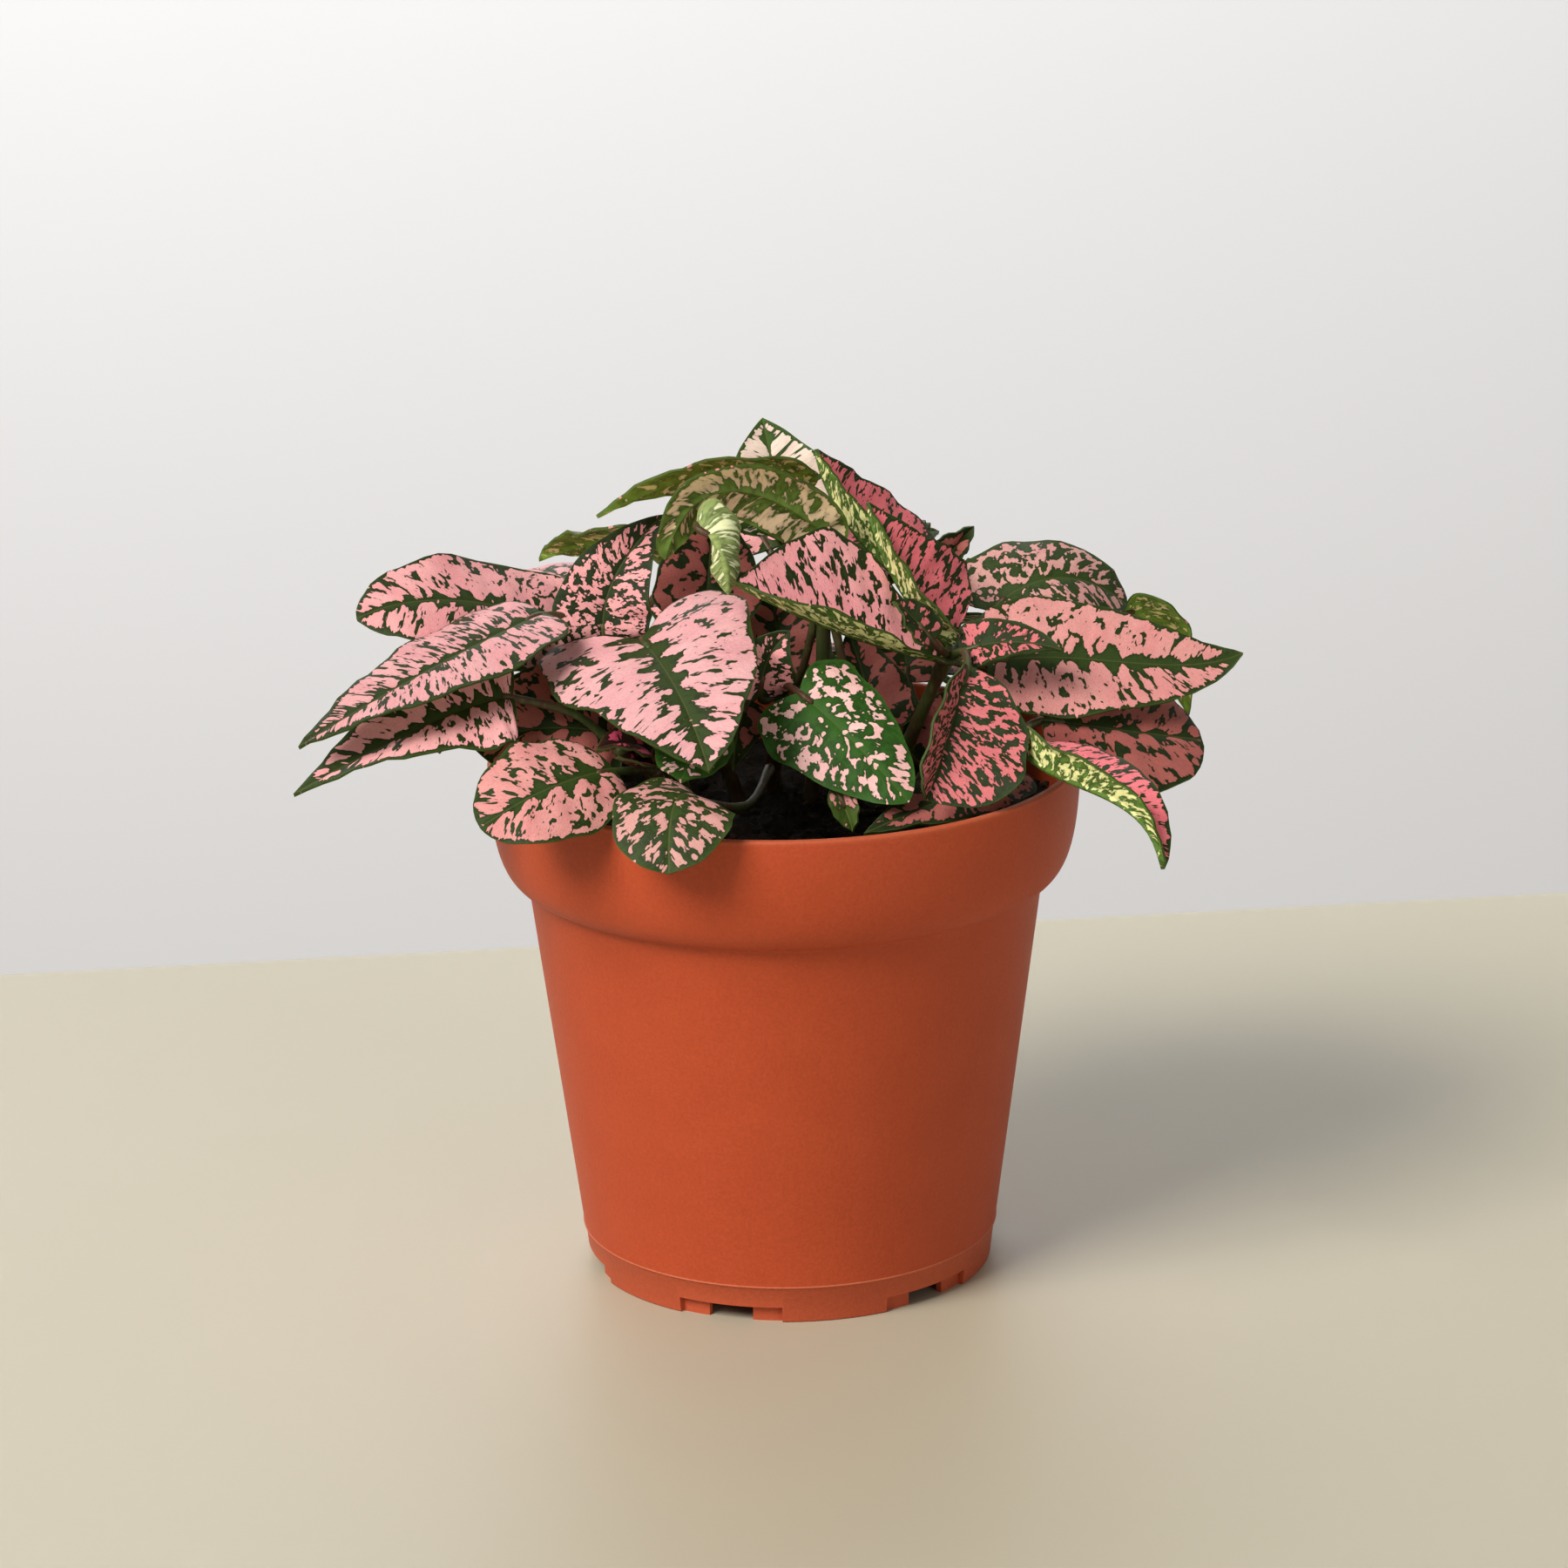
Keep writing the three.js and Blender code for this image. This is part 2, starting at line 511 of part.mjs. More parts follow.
    leaves: [
      leaf("right_back", 1, [[64, 34, 113], [71, 38, 108], [77, 40, 91]],
        [0.6, 0.7, 0.3], 20, "ovate", [0, -10], [0, -10], 0, 0.4),
      leaf("back_right_high", 0.9, [[40, 32, 118], [50, 46, 120], [58, 56, 112]],
        [0.1, 0.3, 0.95], 26, "ovate", [4, -15], [4, -15], 0, 0.6),
      leaf("back_right_low", 0.9, [[46, 34, 102], [52, 46, 97], [56, 54, 86]],
        [0.4, 0.5, 0.75], 22, "ovate", [4, -15], [4, -15], 0, 0.5),
      leaf("inner_back", 0.5, [[23, 9, 107], [22, 12, 114], [19, 15, 123]],
        [0, -0.9, 0.4], 17, "ovate", [5, 0], [5, 0], 0, 0.3),
      leaf("back_tip", 0.8, [[28, 24, 123], [32, 28, 127], [36, 30, 131]],
        [0, -0.7, 0.5], 9, "ovate", [30, 20], [30, 20], 40, 0.2),
      leaf("back_right_under", 0.8, [[30, 32, 102], [34, 44, 101], [38, 54, 93]],
        [0.1, 0.4, 0.9], 19, "ovate", [4, -15], [4, -15], 0, 0.5),
      leaf("right_behind", 1, [[42, 20, 110], [52, 26, 108], [61, 30, 102]],
        [0.1, 0.2, 0.95], 20, "ovate", [4, -15], [4, -15], 0, 0.5),
      leaf("back_right_mid", 0.85, [[30, 25, 115], [27, 35, 111], [24, 45, 103]],
        [-0.1, 0.5, 0.85], 22, "ovate", [4, -15], [4, -15], 0, 0.5),
    ],
  },
  {
    name: "leafy_stem_back",
    path: [[2, 22, 73], [4, 27, 98], [4, 30, 118]],
    leaves: [
      leaf("back_long", 1, [[8, 36, 120], [14, 48, 122], [18, 60, 114]],
        [0, 0.2, 1], 26, "ovate", [4, -15], [4, -15], 0, 0.6),
      leaf("back_middle", 0.95, [[-4, 38, 113], [-9, 50, 110], [-14, 60, 100]],
        [-0.1, 0.35, 0.9], 26, "ovate", [4, -15], [4, -15], 0, 0.6),
      leaf("back_crest", 1, [[12, 32, 122], [20, 39, 126], [30, 46, 126]],
        [0.1, -0.3, 0.9], 20, "ovate", [6, -10], [6, -10], 0, 0.4),
      leaf("back_crown", 1, [[-2, 34, 126], [-8, 42, 131], [-16, 50, 130]],
        [-0.1, -0.3, 0.9], 20, "ovate", [6, -10], [6, -10], 0, 0.4),
      leaf("back_low", 0.7, [[6, 36, 105], [8, 48, 103], [12, 58, 95]],
        [0, 0.5, 0.85], 22, "ovate", [4, -15], [4, -15], 0, 0.5),
    ],
  },
  {
    name: "leafy_stem_back_left",
    path: [[-16, 16, 73], [-24, 21, 96], [-29, 24, 114]],
    leaves: [
      leaf("left_back", 1, [[-22, 16, 132], [-33, 23, 131], [-45, 30, 126]],
        [0, 0.55, 0.83], 21, "ovate", [0, -10], [0, -10], 0, 1),
      leaf("back_left_high", 1, [[-36, 34, 118], [-47, 44, 120], [-57, 52, 112]],
        [-0.1, 0.2, 1], 26, "ovate", [4, -15], [4, -15], 0, 0.6),
      leaf("back_left_side", 0.8, [[-38, 28, 110], [-52, 31, 109], [-66, 34, 101]],
        [-0.2, 0.1, 0.95], 24, "ovate", [4, -15], [4, -15], 0, 0.6),
      leaf("back_left_low", 0.8, [[-29, 36, 106], [-33, 47, 102], [-36, 56, 91]],
        [-0.2, 0.5, 0.8], 24, "ovate", [4, -15], [4, -15], 0, 0.6),
      leaf("inner_top", 0.95, [[-14, 9, 119], [-13, 12, 130], [-12, 13, 141]],
        [0.1, -0.9, 0.4], 21, "ovate", [5, 0], [5, 0], 0, 0.3),
      leaf("back_left_mid", 0.97, [[-12, 17, 116], [-20, 25, 119], [-30, 32, 116]],
        [-0.1, 0.1, 1], 20, "ovate", [4, -15], [4, -15], 0, 0.5),
      leaf("left_behind", 0.97, [[-34, 15, 120], [-46, 17, 122], [-58, 18, 117]],
        [-0.1, 0, 1], 19, "ovate", [4, -15], [4, -15], 0, 0.5),
    ],
  },
];

// ---- the potted plant ----

const terracottaPlastic = finish("#b4532f", 0.6);
const pottingSoil = finish("#2a211b", 0.95);
const variegatedLeaf = finish("#c98088", 0.5);

const pottedPlant = new THREE.Group();
pottedPlant.name = "potted_polka_dot_plant";
pottedPlant.add(namedMesh("pot", pot(), terracottaPlastic));
pottedPlant.add(namedMesh("potting_soil", soil(LEAFY_STEMS.map(stemHole)), pottingSoil));
for (const stem of LEAFY_STEMS) {
  pottedPlant.add(namedMesh(stem.name, leafyStem(stem), variegatedLeaf.clone()));
}

export default pottedPlant;
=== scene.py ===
# Potted polka dot plant (Hypoestes phyllostachya) in a round nursery pot.
import math
import random
from collections import namedtuple

import bmesh
import bpy
from mathutils import Matrix, Vector, noise


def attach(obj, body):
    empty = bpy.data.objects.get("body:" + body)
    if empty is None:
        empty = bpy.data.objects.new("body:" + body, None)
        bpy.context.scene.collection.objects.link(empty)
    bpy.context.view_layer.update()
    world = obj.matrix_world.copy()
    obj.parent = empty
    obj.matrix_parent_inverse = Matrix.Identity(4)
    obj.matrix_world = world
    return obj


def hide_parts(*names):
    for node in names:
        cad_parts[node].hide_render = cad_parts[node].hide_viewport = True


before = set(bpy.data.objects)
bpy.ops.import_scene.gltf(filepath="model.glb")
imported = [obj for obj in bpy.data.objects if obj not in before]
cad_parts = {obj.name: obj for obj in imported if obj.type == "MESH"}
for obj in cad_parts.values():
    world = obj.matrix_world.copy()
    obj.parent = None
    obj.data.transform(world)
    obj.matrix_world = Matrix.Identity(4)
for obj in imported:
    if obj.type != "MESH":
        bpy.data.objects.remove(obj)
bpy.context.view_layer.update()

MM = 0.001  # the object's sizes are in millimetres, and a finished piece is scaled to metres
TURN = 2 * math.pi
MERGE = 0.001  # points closer than this are one point

# ---- pot ----

POT_HEIGHT = 96.2
ROUND_STEPS = 180  # facets round the pot and the soil
RIM_RADIUS = 54
LIP_THICK = 1.55
LIP_ROUND, LIP_INNER_ROUND = 0.55, 0.4
BAND_FOOT_RADIUS = 47.55  # where the rim band turns in to meet the wall
BAND_FOOT_Z = 74.3
BAND_CURVE = ((BAND_FOOT_RADIUS + 0.15, BAND_FOOT_Z), (51.4, 74.9), (53.2, 79.5), (53.9, 90))
BAND_STEPS = 16
WALL = 1.2
WALL_TOP_RADIUS = 47.25  # outside of the plain wall at the rim band's foot
WALL_FOOT_RADIUS = 38.4  # and at the mould line
WALL_LEVELS = (20, 34, 48, 62)
FLASH_RADIUS = 38.45  # middle of the fine raised bead that the mould left
FLASH_ROUND = 0.12
FLASH_Z = 7.1
FOOT_RADIUS = 37.4
FOOT_ROUND = 0.35
FOOT_RING_THICK = 2.2
FLOOR_Z = 3.5  # underside of the pot's floor
FLOOR_THICK = 1.6
NOTCHES = 6
FIRST_NOTCH_DEG = -17.5  # from the front, towards +X
NOTCH_DEG, NOTCH_HEIGHT = 13, 2.4
RECESS_DEG, RECESS_HEIGHT, RECESS_DEPTH = 30, 3, 1  # shallow recess in the foot round each notch
DRAIN_RADIUS, DRAIN_SIDES = 4, 32
DRAIN_RING = 26  # from the pot's axis to the middle of a drain hole
CUT_CLEAR, CUT_STEPS = 1, 10  # how far a cutter runs on past what it cuts, and its steps round
CREASE_DEG = 35  # a sharper edge than this is left a corner

# ---- soil ----

SOIL_TOP = 85.5
SOIL_GAP = 0.3  # between the soil and the pot's floor
SOIL_EDGE = 51.2
SOIL_RINGS = 64
SLUMP, SLUMP_FROM, SLUMP_WIDTH = 1.2, 46, 5  # how far its edge has sunk, and from which radius on
PEAT_TINTS = ("#1b1410", "#241a14", "#2e2119", "#3a2a1f", "#191310")
CRUMBS = 900
CRUMB_SEED = 7
CRUMB_SIZES = (0.35, 1.1)  # radius of the smallest crumb, and how much larger the largest is
MOSS_GREEN = "#5d6a2c"
# Beads of moss on the soil: x, y and radius.
MOSS_BEADS = (
    (2, -41, 1.6), (6, -44, 1.3), (4.5, -40.5, 0.9), (3.2, -45.8, 1.9), (7.6, -41.6, 1.0),
    (-3, -43, 0.9), (1, -46.6, 0.8),
)

# ---- stems and leaves ----

LEAF_SEED = 3
STEM_RADIUS = 1.4
STEM_SIDES, STEM_STEPS = 18, 40
STEM_FOOT, STEM_TAPER = 1.08, 0.3  # a stem's thickness at its foot, and how much it loses upwards
JOINT_SWELL, JOINT_LENGTH = 0.22, 0.05  # how far, and over what share of it, it swells at a stalk
MOST_SWELL = 1.5
STALK_RADIUS = 0.75
STALK_SIDES, STALK_STEPS = 12, 20
STALK_SWELL, STALK_SWELL_LENGTH = 0.35, 0.12  # the same for a stalk at the stem
STALK_THINS_FROM, STALK_THINNING = 0.62, 0.45
STALK_SUNK = 4  # how far a stalk runs on under its blade
STALK_BELOW, STALK_RISE = 0.2, 0.35  # its depth under the blade, and how far its end rises
BLADE_THICK = 0.42
LOBE_ROWS = 1.3  # crowds a blade's rows towards its lobes
RIB_COLUMNS = 1.2  # crowds its columns towards the midrib
ROW_SWEEP = 1.6  # how much nearer the stalk a row starts on the midrib than at the outline
SMALL_LEAF = 20  # a blade shorter than this has the small grid of columns and rows
SMALL_GRID, FULL_GRID = (20, 20), (36, 34)
RIB_STEPS = 60  # for measuring a midrib
EDGE_WAVES, EDGE_WAVE_PHASES = 1.5, (0.7, 2.9)  # waves from stalk to tip on a blade's two sides
RAGGED, RAGGED_WAVES = 0.025, 4.3  # how uneven the outline is, as a share of its width
RIPPLE, RIPPLE_WAVES = 0.3, 3.5  # short ripples of the margin
QUILTING = 0.4  # how far the blade puffs up between its side veins
RIB_SUNK, RIB_WIDTH = 0.22, 0.5  # the midrib's groove above
RIB_THICK, RIB_RIDGE_WIDTH = 0.35, 0.55  # and its ridge underneath
VEIN_SPACING = 5.2  # between side veins, measured along the midrib
VEIN_START = -0.15  # slope of the side veins at the stalk, towards the tip for each step outwards
VEIN_GAIN = 1.2  # how much steeper they are at the tip

# Green runs out from the midrib a little between side veins and further along one, less towards
# the tip, and a coat's share of splashes and a side vein make a point lean to a splash or to green.
GREEN_BETWEEN, GREEN_ALONG_VEIN, VEIN_SHARPNESS = 0.5, 2.6, 4
GREEN_AT_STALK, GREEN_LOST_AT_TIP = 1.25, 0.75
SHARE_LEAN, VEIN_LEAN = 0.3, 0.03
PATTERNS = 90  # a blade's pattern is cut from a random depth up to this
TONES = (0.94, 1.05)  # how dark or light a whole blade may be

# How a leaf is marked: the colour of its splashes, of its green and of the splashes underneath, the
# share of it that is splashed, a mark's length and width and how far green runs out from the midrib
# in mm, and, from 0 to 1, how freely its green is dotted and its splashes are specked with green.
Coat = namedtuple("Coat", "splash ground under share length width rib dots specks")
HEART = Coat("#e1adb0", "#31441a", "#e3dfa6", 0.84, 3.2, 1.2, 1.9, 0.45, 0.35)
ROSY = Coat("#f0afb1", "#31441a", "#e2e29b", 0.78, 3.0, 1.2, 1.1, 0.5, 0.45)
RIM = Coat("#d89894", "#2f4417", "#e3dfa6", 0.78, 2.6, 1.2, 1.4, 0.5, 0.4)
PATCHY = Coat("#cf9e98", "#32481a", "#e3dfa6", 0.47, 2.0, 1.2, 0.8, 0.75, 0.35)
FINE = Coat("#f2adaf", "#2a3c1c", "#e3dfa6", 0.58, 1.5, 0.9, 0.5, 0.7, 0.5)
PALE = Coat("#e2a9ab", "#31441b", "#e2e29b", 0.7, 3.4, 1.0, 0.6, 0.55, 0.4)
DEEP = Coat("#fcb3b7", "#2d4018", "#dfe4a0", 0.74, 2.7, 1.2, 0.7, 0.5, 0.45)
CORAL = Coat("#ec7f88", "#2d4018", "#dfe4a0", 0.72, 2.7, 1.0, 0.5, 0.5, 0.5)
# Painted shade: the coat of leaves deep in the foliage or under others, with its splashes, green and
# underside painted darker to stand for the shade they lie in.
SHADE_DARKENED = Coat("#a8625b", "#233410", "#bfb383", 0.72, 2.8, 1.4, 0.8, 0.5, 0.4)
DOTTED = Coat("#f8ccc9", "#33611f", "#dfe0ae", 0.41, 1.9, 1.5, 1.0, 1.0, 0.1)
STREAKY = Coat("#d67a7e", "#2a3c17", "#e2e29b", 0.52, 2.0, 0.8, 0.6, 0.8, 0.5)
MAGENTA = Coat("#d65678", "#3a1f1a", "#c48a78", 0.66, 2.2, 1.0, 1.0, 0.5, 0.5)
CREAM = Coat("#f6e6d8", "#456628", "#e6ead0", 0.8, 7.0, 0.9, 0.8, 0.4, 0.4)
ROLLED = Coat("#e4ebc4", "#4c5832", "#dbe5b4", 0.62, 6.0, 0.7, 0.4, 0.3, 0.3)
BACKED = Coat("#e58a95", "#35451a", "#e6cfaa", 0.8, 3.2, 1.4, 0.7, 0.45, 0.45)
MOSSY = Coat("#d79a94", "#465e20", "#f0eca8", 0.6, 2.0, 1.5, 0.8, 0.85, 0.4)

# A leaf: its name, where it leaves the stem as a share of the stem's length, and the points of its
# midrib from the stalk to the tip; then where its upper face looks, the blade's width, the degrees
# that its left and right halves fold up and then curl, with the share of a full width where a half
# is narrower, the height of its edge's waves, its coat, its outline, and the degrees it twists.
Leaf = namedtuple("Leaf", "name at rib face width left right wave coat outline twist", defaults=("ovate", 0))

# Blade outlines as the two inner handles of a curve from the stalk to the tip, on one side:
# (reach sideways, reach along), as shares of the blade's width and length.
OUTLINES = {
    "heart": ((1, -0.68), (0.42, 0.78)),
    "broad": ((1, -0.45), (0.62, 0.9)),
    "ovate": ((0.88, -0.12), (0.34, 0.72)),
    "blunt": ((0.8, -0.12), (0.72, 0.98)),
    "spoon": ((0.5, 0.02), (0.85, 0.95)),
    "obovate": ((0.35, 0.3), (0.95, 0.62)),
    "lance": ((0.8, 0.06), (0.42, 0.72)),
}

# Each shoot by its node: its stem's path and its leaves.
LEAFY_STEMS = {
    "leafy_stem_left": (((-14, 2, 73), (-21, -1, 98), (-32, -6, 121)), [
        Leaf("left_high", 0.97, ((-41, 3, 121), (-54, -2, 126), (-66, -8, 128), (-76, -12, 126)),
             (0, -0.45, 0.9), 22, (-14, -10), (8, 0, 0.85), 0.8, ROSY, "broad"),
        Leaf("left_long", 0.97, ((-43, -10, 126), (-63, -26, 120), (-85, -38, 110)),
             (-0.1, -0.35, 0.93), 24, (8, -10), (6, -30), 0.6, PALE),
        Leaf("left_upright", 1, ((-32, -7, 120), (-30, -5, 131), (-21, 2, 141)),
             (-0.1, -0.85, 0.5), 19, (20, -10), (14, -10), 0.6, FINE),
        Leaf("left_below", 0.6, ((-42, 10, 104), (-54, 12, 102), (-64, 12, 94)),
             (-0.2, -0.1, 0.95), 20, (4, -15), (4, -15), 0.5, SHADE_DARKENED),
    ]),
    "leafy_stem_low_left": (((-12, -6, 73), (-20, -12, 92), (-30, -20, 104)), [
        Leaf("left_low", 1, ((-48, -22, 114), (-62, -27, 111), (-86, -40, 102)),
             (-0.1, -0.5, 0.85), 26, (10, 0), (12, 0), 1, ROSY, "ovate", 30),
        Leaf("left_under", 0.9, ((-29, -17, 104), (-40, -18, 107), (-56, -20, 105)),
             (0.1, -0.8, 0.6), 25, (5, -10), (5, -10), 0.6, SHADE_DARKENED, "broad"),
    ]),
    "leafy_stem_heart": (((-4, 4, 73), (-12, 0, 98), (-21, -6, 119)), [
        Leaf("big_heart", 1, ((-25, -14, 122), (-18, -34, 117), (-13, -50, 108)),
             (0.1, -0.55, 0.83), 35, (22, -20), (0, -25), 0.8, HEART, "heart"),
        Leaf("heart_under", 0.9, ((-14, -26, 111), (-16, -34, 107), (-18, -41, 103.8)),
             (0, -0.5, 0.85), 12, (6, -10), (6, -10), 0.4, DOTTED, "blunt"),
    ]),
    "leafy_stem_front": (((-1, 12, 73), (-2, 8, 90), (-1, 2, 101), (0, -8, 112)), [
        Leaf("green_heart", 0.95, ((3, -22, 114), (12, -28, 107), (22, -34, 97)),
             (0.3, -0.83, 0.42), 19, (0, -14, 0.94), (-6, -14), 0.3, DOTTED, "broad"),
        Leaf("rim_front", 0.4, ((-15, -40, 100), (-19, -51, 102.5), (-20, -61, 93)),
             (-0.1, -0.65, 0.75), 21, (0, -14), (0, -14), 0.4, PATCHY, "spoon"),
        Leaf("shrivelled", 0.7, ((9, -30, 99), (11, -33, 95), (12, -35, 92)),
             (0, -0.9, 0.4), 6, (20, 10), (20, 10), 0.3, MOSSY, "lance", 20),
        Leaf("inner_pointed", 1, ((-4, -17, 112), (-2.5, -19, 119.5), (1.5, -19, 124.5)),
             (0.2, -0.9, 0.3), 13, (10, 0), (10, 0), 0.3, FINE),
        Leaf("inner_low", 0.9, ((-6, -16, 111), (-8, -20, 107), (-9, -26, 101)),
             (0.3, -0.8, 0.5), 11, (10, 0), (10, 0), 0.3, SHADE_DARKENED),
    ]),
    "leafy_stem_right": (((14, 3, 73), (22, 0, 96), (30, -7, 117)), [
        Leaf("centre_rolled", 1, ((30, -10, 116), (11, -18, 124), (-8, -24, 135)),
             (0, -0.8, 0.6), 37, (60, 60, 0.42), (0, -15), 0.4, DEEP, "obovate"),
        Leaf("crest_back", 0.95, ((27, 2, 124), (13, 3, 138), (7, 5, 152)),
             (0.5, -0.6, 0.6), 33, (80, 30, 0.4), (0, -15), 0.4, CORAL),
        Leaf("crest_front", 0.97, ((30, -5, 118), (21, -6, 130), (16, -3, 144)),
             (0.35, -0.75, 0.55), 33, (80, 30, 0.4), (0, -15), 0.4, CORAL),
        Leaf("apex_small", 1, ((27, -14, 121), (23, -15, 126), (20, -16, 129)),
             (0, -0.6, 0.8), 8, (15, 0), (15, 0), 0.2, STREAKY),
        Leaf("right_long", 0.97, ((37, -4, 114), (54, -2, 114), (70, 0, 112), (84, 4, 113)),
             (0, -0.6, 0.8), 27, (12, -15), (2, -10), 0.6, RIM),
        Leaf("right_small", 1, ((32, -10, 118), (41, -12, 120), (50, -14, 119)),
             (0.1, -0.6, 0.8), 11, (10, 0), (10, 0), 0.3, STREAKY),
        Leaf("right_drooping", 0.95, ((33, -20, 118), (29, -31, 108), (25, -38, 98.5)),
             (0.05, -0.85, 0.45), 29, (0, 15), (50, 20, 0.42), 0.4, STREAKY, "spoon"),
        Leaf("right_high", 0.95, ((38, 10, 120), (51, 14, 125), (64, 20, 118)),
             (0, -0.55, 0.85), 20, (4, -15), (4, -15), 0.5, PATCHY, "broad"),
        Leaf("inner_shade", 0.5, ((29, 6, 92), (30, 6.5, 100), (31, 7, 106.5)),
             (-0.1, -0.9, 0.4), 17, (5, 0), (5, 0), 0.3, SHADE_DARKENED),
        Leaf("right_stub", 0.95, ((38, 16, 120), (35, 18, 125), (34, 20, 127)),
             (0, -0.7, 0.5), 8, (10, 0), (10, 0), 0.2, STREAKY),
    ]),
    "leafy_stem_low_right": (((20, -6, 73), (32, -9, 90), (42, -12, 101)), [
        Leaf("right_low", 1, ((47, -10, 105), (62, -8, 102), (76, -4, 99)),
             (0, -0.55, 0.83), 25, (4, -15), (4, -15), 0.5, SHADE_DARKENED, "blunt"),
        Leaf("right_hanging", 1, ((42, -26, 105), (50, -38, 102), (60, -46, 99), (66, -50, 89)),
             (0.2, -0.5, 0.8), 26, (2, -15), (80, 30, 0.5), 0.4, CORAL),
        Leaf("rim_right", 0.8, ((42, -18, 98), (29, -28, 96), (14, -36, 92)),
             (0, -0.5, 0.85), 16, (4, -10), (4, -10), 0.4, SHADE_DARKENED),
    ]),
    "leafy_stem_top": (((3, 4, 73), (7, 6, 104), (8, 5, 132), (10, 3, 139)), [
        Leaf("top_long", 1, ((6, 8, 144), (-11, 2, 149), (-33, -6, 143)),
             (0, 0.62, 0.78), 17, (0, -15), (0, -15), 0.4, MOSSY, "lance"),
        Leaf("top_arch", 1, ((10, -2, 136), (0, -6, 145), (-12, -10, 148), (-21, -15, 137)),
             (-0.3, 0.8, 0.5), 13, (0, -10, 0.9), (0, -10, 0.9), 0.3, BACKED, "blunt"),
        Leaf("top_roll", 0.9, ((-14.5, -17, 143.8), (-10.5, -22, 140), (-9.5, -22, 132.5)),
             (-0.1, 0.9, 0.3), 15, (20, 90, 0.8), (20, 90, 0.8), 0, ROLLED, "broad"),
        Leaf("top_tip", 0.97, ((2, 17, 135), (-1, 19, 145), (-3, 22, 154)),
             (0, -0.9, 0.4), 22, (10, 0), (10, 0), 0.5, CREAM),
        Leaf("crown_behind", 0.95, ((14, 17, 130), (20, 26, 133), (28, 34, 129)),
             (0.1, 0.2, 0.95), 20, (4, -15), (4, -15), 0.5, CORAL),
        Leaf("inner_arch", 0.97, ((7, 6, 133), (0, 5, 138), (-8, 4, 141)),
             (0.2, -0.8, 0.5), 12, (10, 40), (10, 0), 0.3, CORAL),
        Leaf("inner_right", 0.6, ((16, 3, 100), (15, 6, 108), (12, 9, 117)),
             (0, -0.9, 0.4), 18, (5, 0), (5, 0), 0.3, SHADE_DARKENED),
        Leaf("inner_middle", 0.6, ((0, 12, 106), (-1, 15, 116), (-2, 17, 127)),
             (0, -0.9, 0.4), 21, (5, 0), (5, 0), 0.3, SHADE_DARKENED),
    ]),
    "leafy_shoot_rim_left": (((-18, -14, 73), (-21, -20, 90), (-23, -26, 102)), [
        Leaf("rim_left", 0.95, ((-30, -35, 104), (-41, -44, 103.5), (-53, -49, 98)),
             (-0.15, -0.7, 0.7), 24, (0, -15, 0.78), (0, -15, 0.88), 0.5, RIM, "blunt"),
        Leaf("bud_left", 1, ((-24, -28, 105), (-28, -32, 108), (-33, -36, 108)),
             (0, -0.6, 0.8), 9, (20, 0), (20, 0), 0.2, MAGENTA),
        Leaf("bud_right", 1, ((-23, -26, 105), (-25, -31, 104), (-29, -36, 107)),
             (0.2, -0.4, 0.9), 9, (20, 0), (20, 0), 0.2, MAGENTA),
    ]),
    "leafy_stem_back_right": (((18, 16, 73), (32, 22, 94), (46, 27, 108)), [
        Leaf("right_back", 1, ((64, 34, 113), (71, 38, 108), (77, 40, 91)),
             (0.6, 0.7, 0.3), 20, (0, -10), (0, -10), 0.4, MOSSY),
        Leaf("back_right_high", 0.9, ((40, 32, 118), (50, 46, 120), (58, 56, 112)),
             (0.1, 0.3, 0.95), 26, (4, -15), (4, -15), 0.6, ROSY),
        Leaf("back_right_low", 0.9, ((46, 34, 102), (52, 46, 97), (56, 54, 86)),
             (0.4, 0.5, 0.75), 22, (4, -15), (4, -15), 0.5, CORAL),
        Leaf("inner_back", 0.5, ((23, 9, 107), (22, 12, 114), (19, 15, 123)),
             (0, -0.9, 0.4), 17, (5, 0), (5, 0), 0.3, SHADE_DARKENED),
        Leaf("back_tip", 0.8, ((28, 24, 123), (32, 28, 127), (36, 30, 131)),
             (0, -0.7, 0.5), 9, (30, 20), (30, 20), 0.2, SHADE_DARKENED, "ovate", 40),
        Leaf("back_right_under", 0.8, ((30, 32, 102), (34, 44, 101), (38, 54, 93)),
             (0.1, 0.4, 0.9), 19, (4, -15), (4, -15), 0.5, SHADE_DARKENED),
        Leaf("right_behind", 1, ((42, 20, 110), (52, 26, 108), (61, 30, 102)),
             (0.1, 0.2, 0.95), 20, (4, -15), (4, -15), 0.5, STREAKY),
        Leaf("back_right_mid", 0.85, ((30, 25, 115), (27, 35, 111), (24, 45, 103)),
             (-0.1, 0.5, 0.85), 22, (4, -15), (4, -15), 0.5, ROSY),
    ]),
    "leafy_stem_back": (((2, 22, 73), (4, 27, 98), (4, 30, 118)), [
        Leaf("back_long", 1, ((8, 36, 120), (14, 48, 122), (18, 60, 114)),
             (0, 0.2, 1), 26, (4, -15), (4, -15), 0.6, PALE),
        Leaf("back_middle", 0.95, ((-4, 38, 113), (-9, 50, 110), (-14, 60, 100)),
             (-0.1, 0.35, 0.9), 26, (4, -15), (4, -15), 0.6, ROSY),
        Leaf("back_crest", 1, ((12, 32, 122), (20, 39, 126), (30, 46, 126)),
             (0.1, -0.3, 0.9), 20, (6, -10), (6, -10), 0.4, DEEP),
        Leaf("back_crown", 1, ((-2, 34, 126), (-8, 42, 131), (-16, 50, 130)),
             (-0.1, -0.3, 0.9), 20, (6, -10), (6, -10), 0.4, ROSY),
        Leaf("back_low", 0.7, ((6, 36, 105), (8, 48, 103), (12, 58, 95)),
             (0, 0.5, 0.85), 22, (4, -15), (4, -15), 0.5, STREAKY),
    ]),
    "leafy_stem_back_left": (((-16, 16, 73), (-24, 21, 96), (-29, 24, 114)), [
        Leaf("left_back", 1, ((-22, 16, 132), (-33, 23, 131), (-45, 30, 126)),
             (0, 0.55, 0.83), 21, (0, -10), (0, -10), 1, MOSSY),
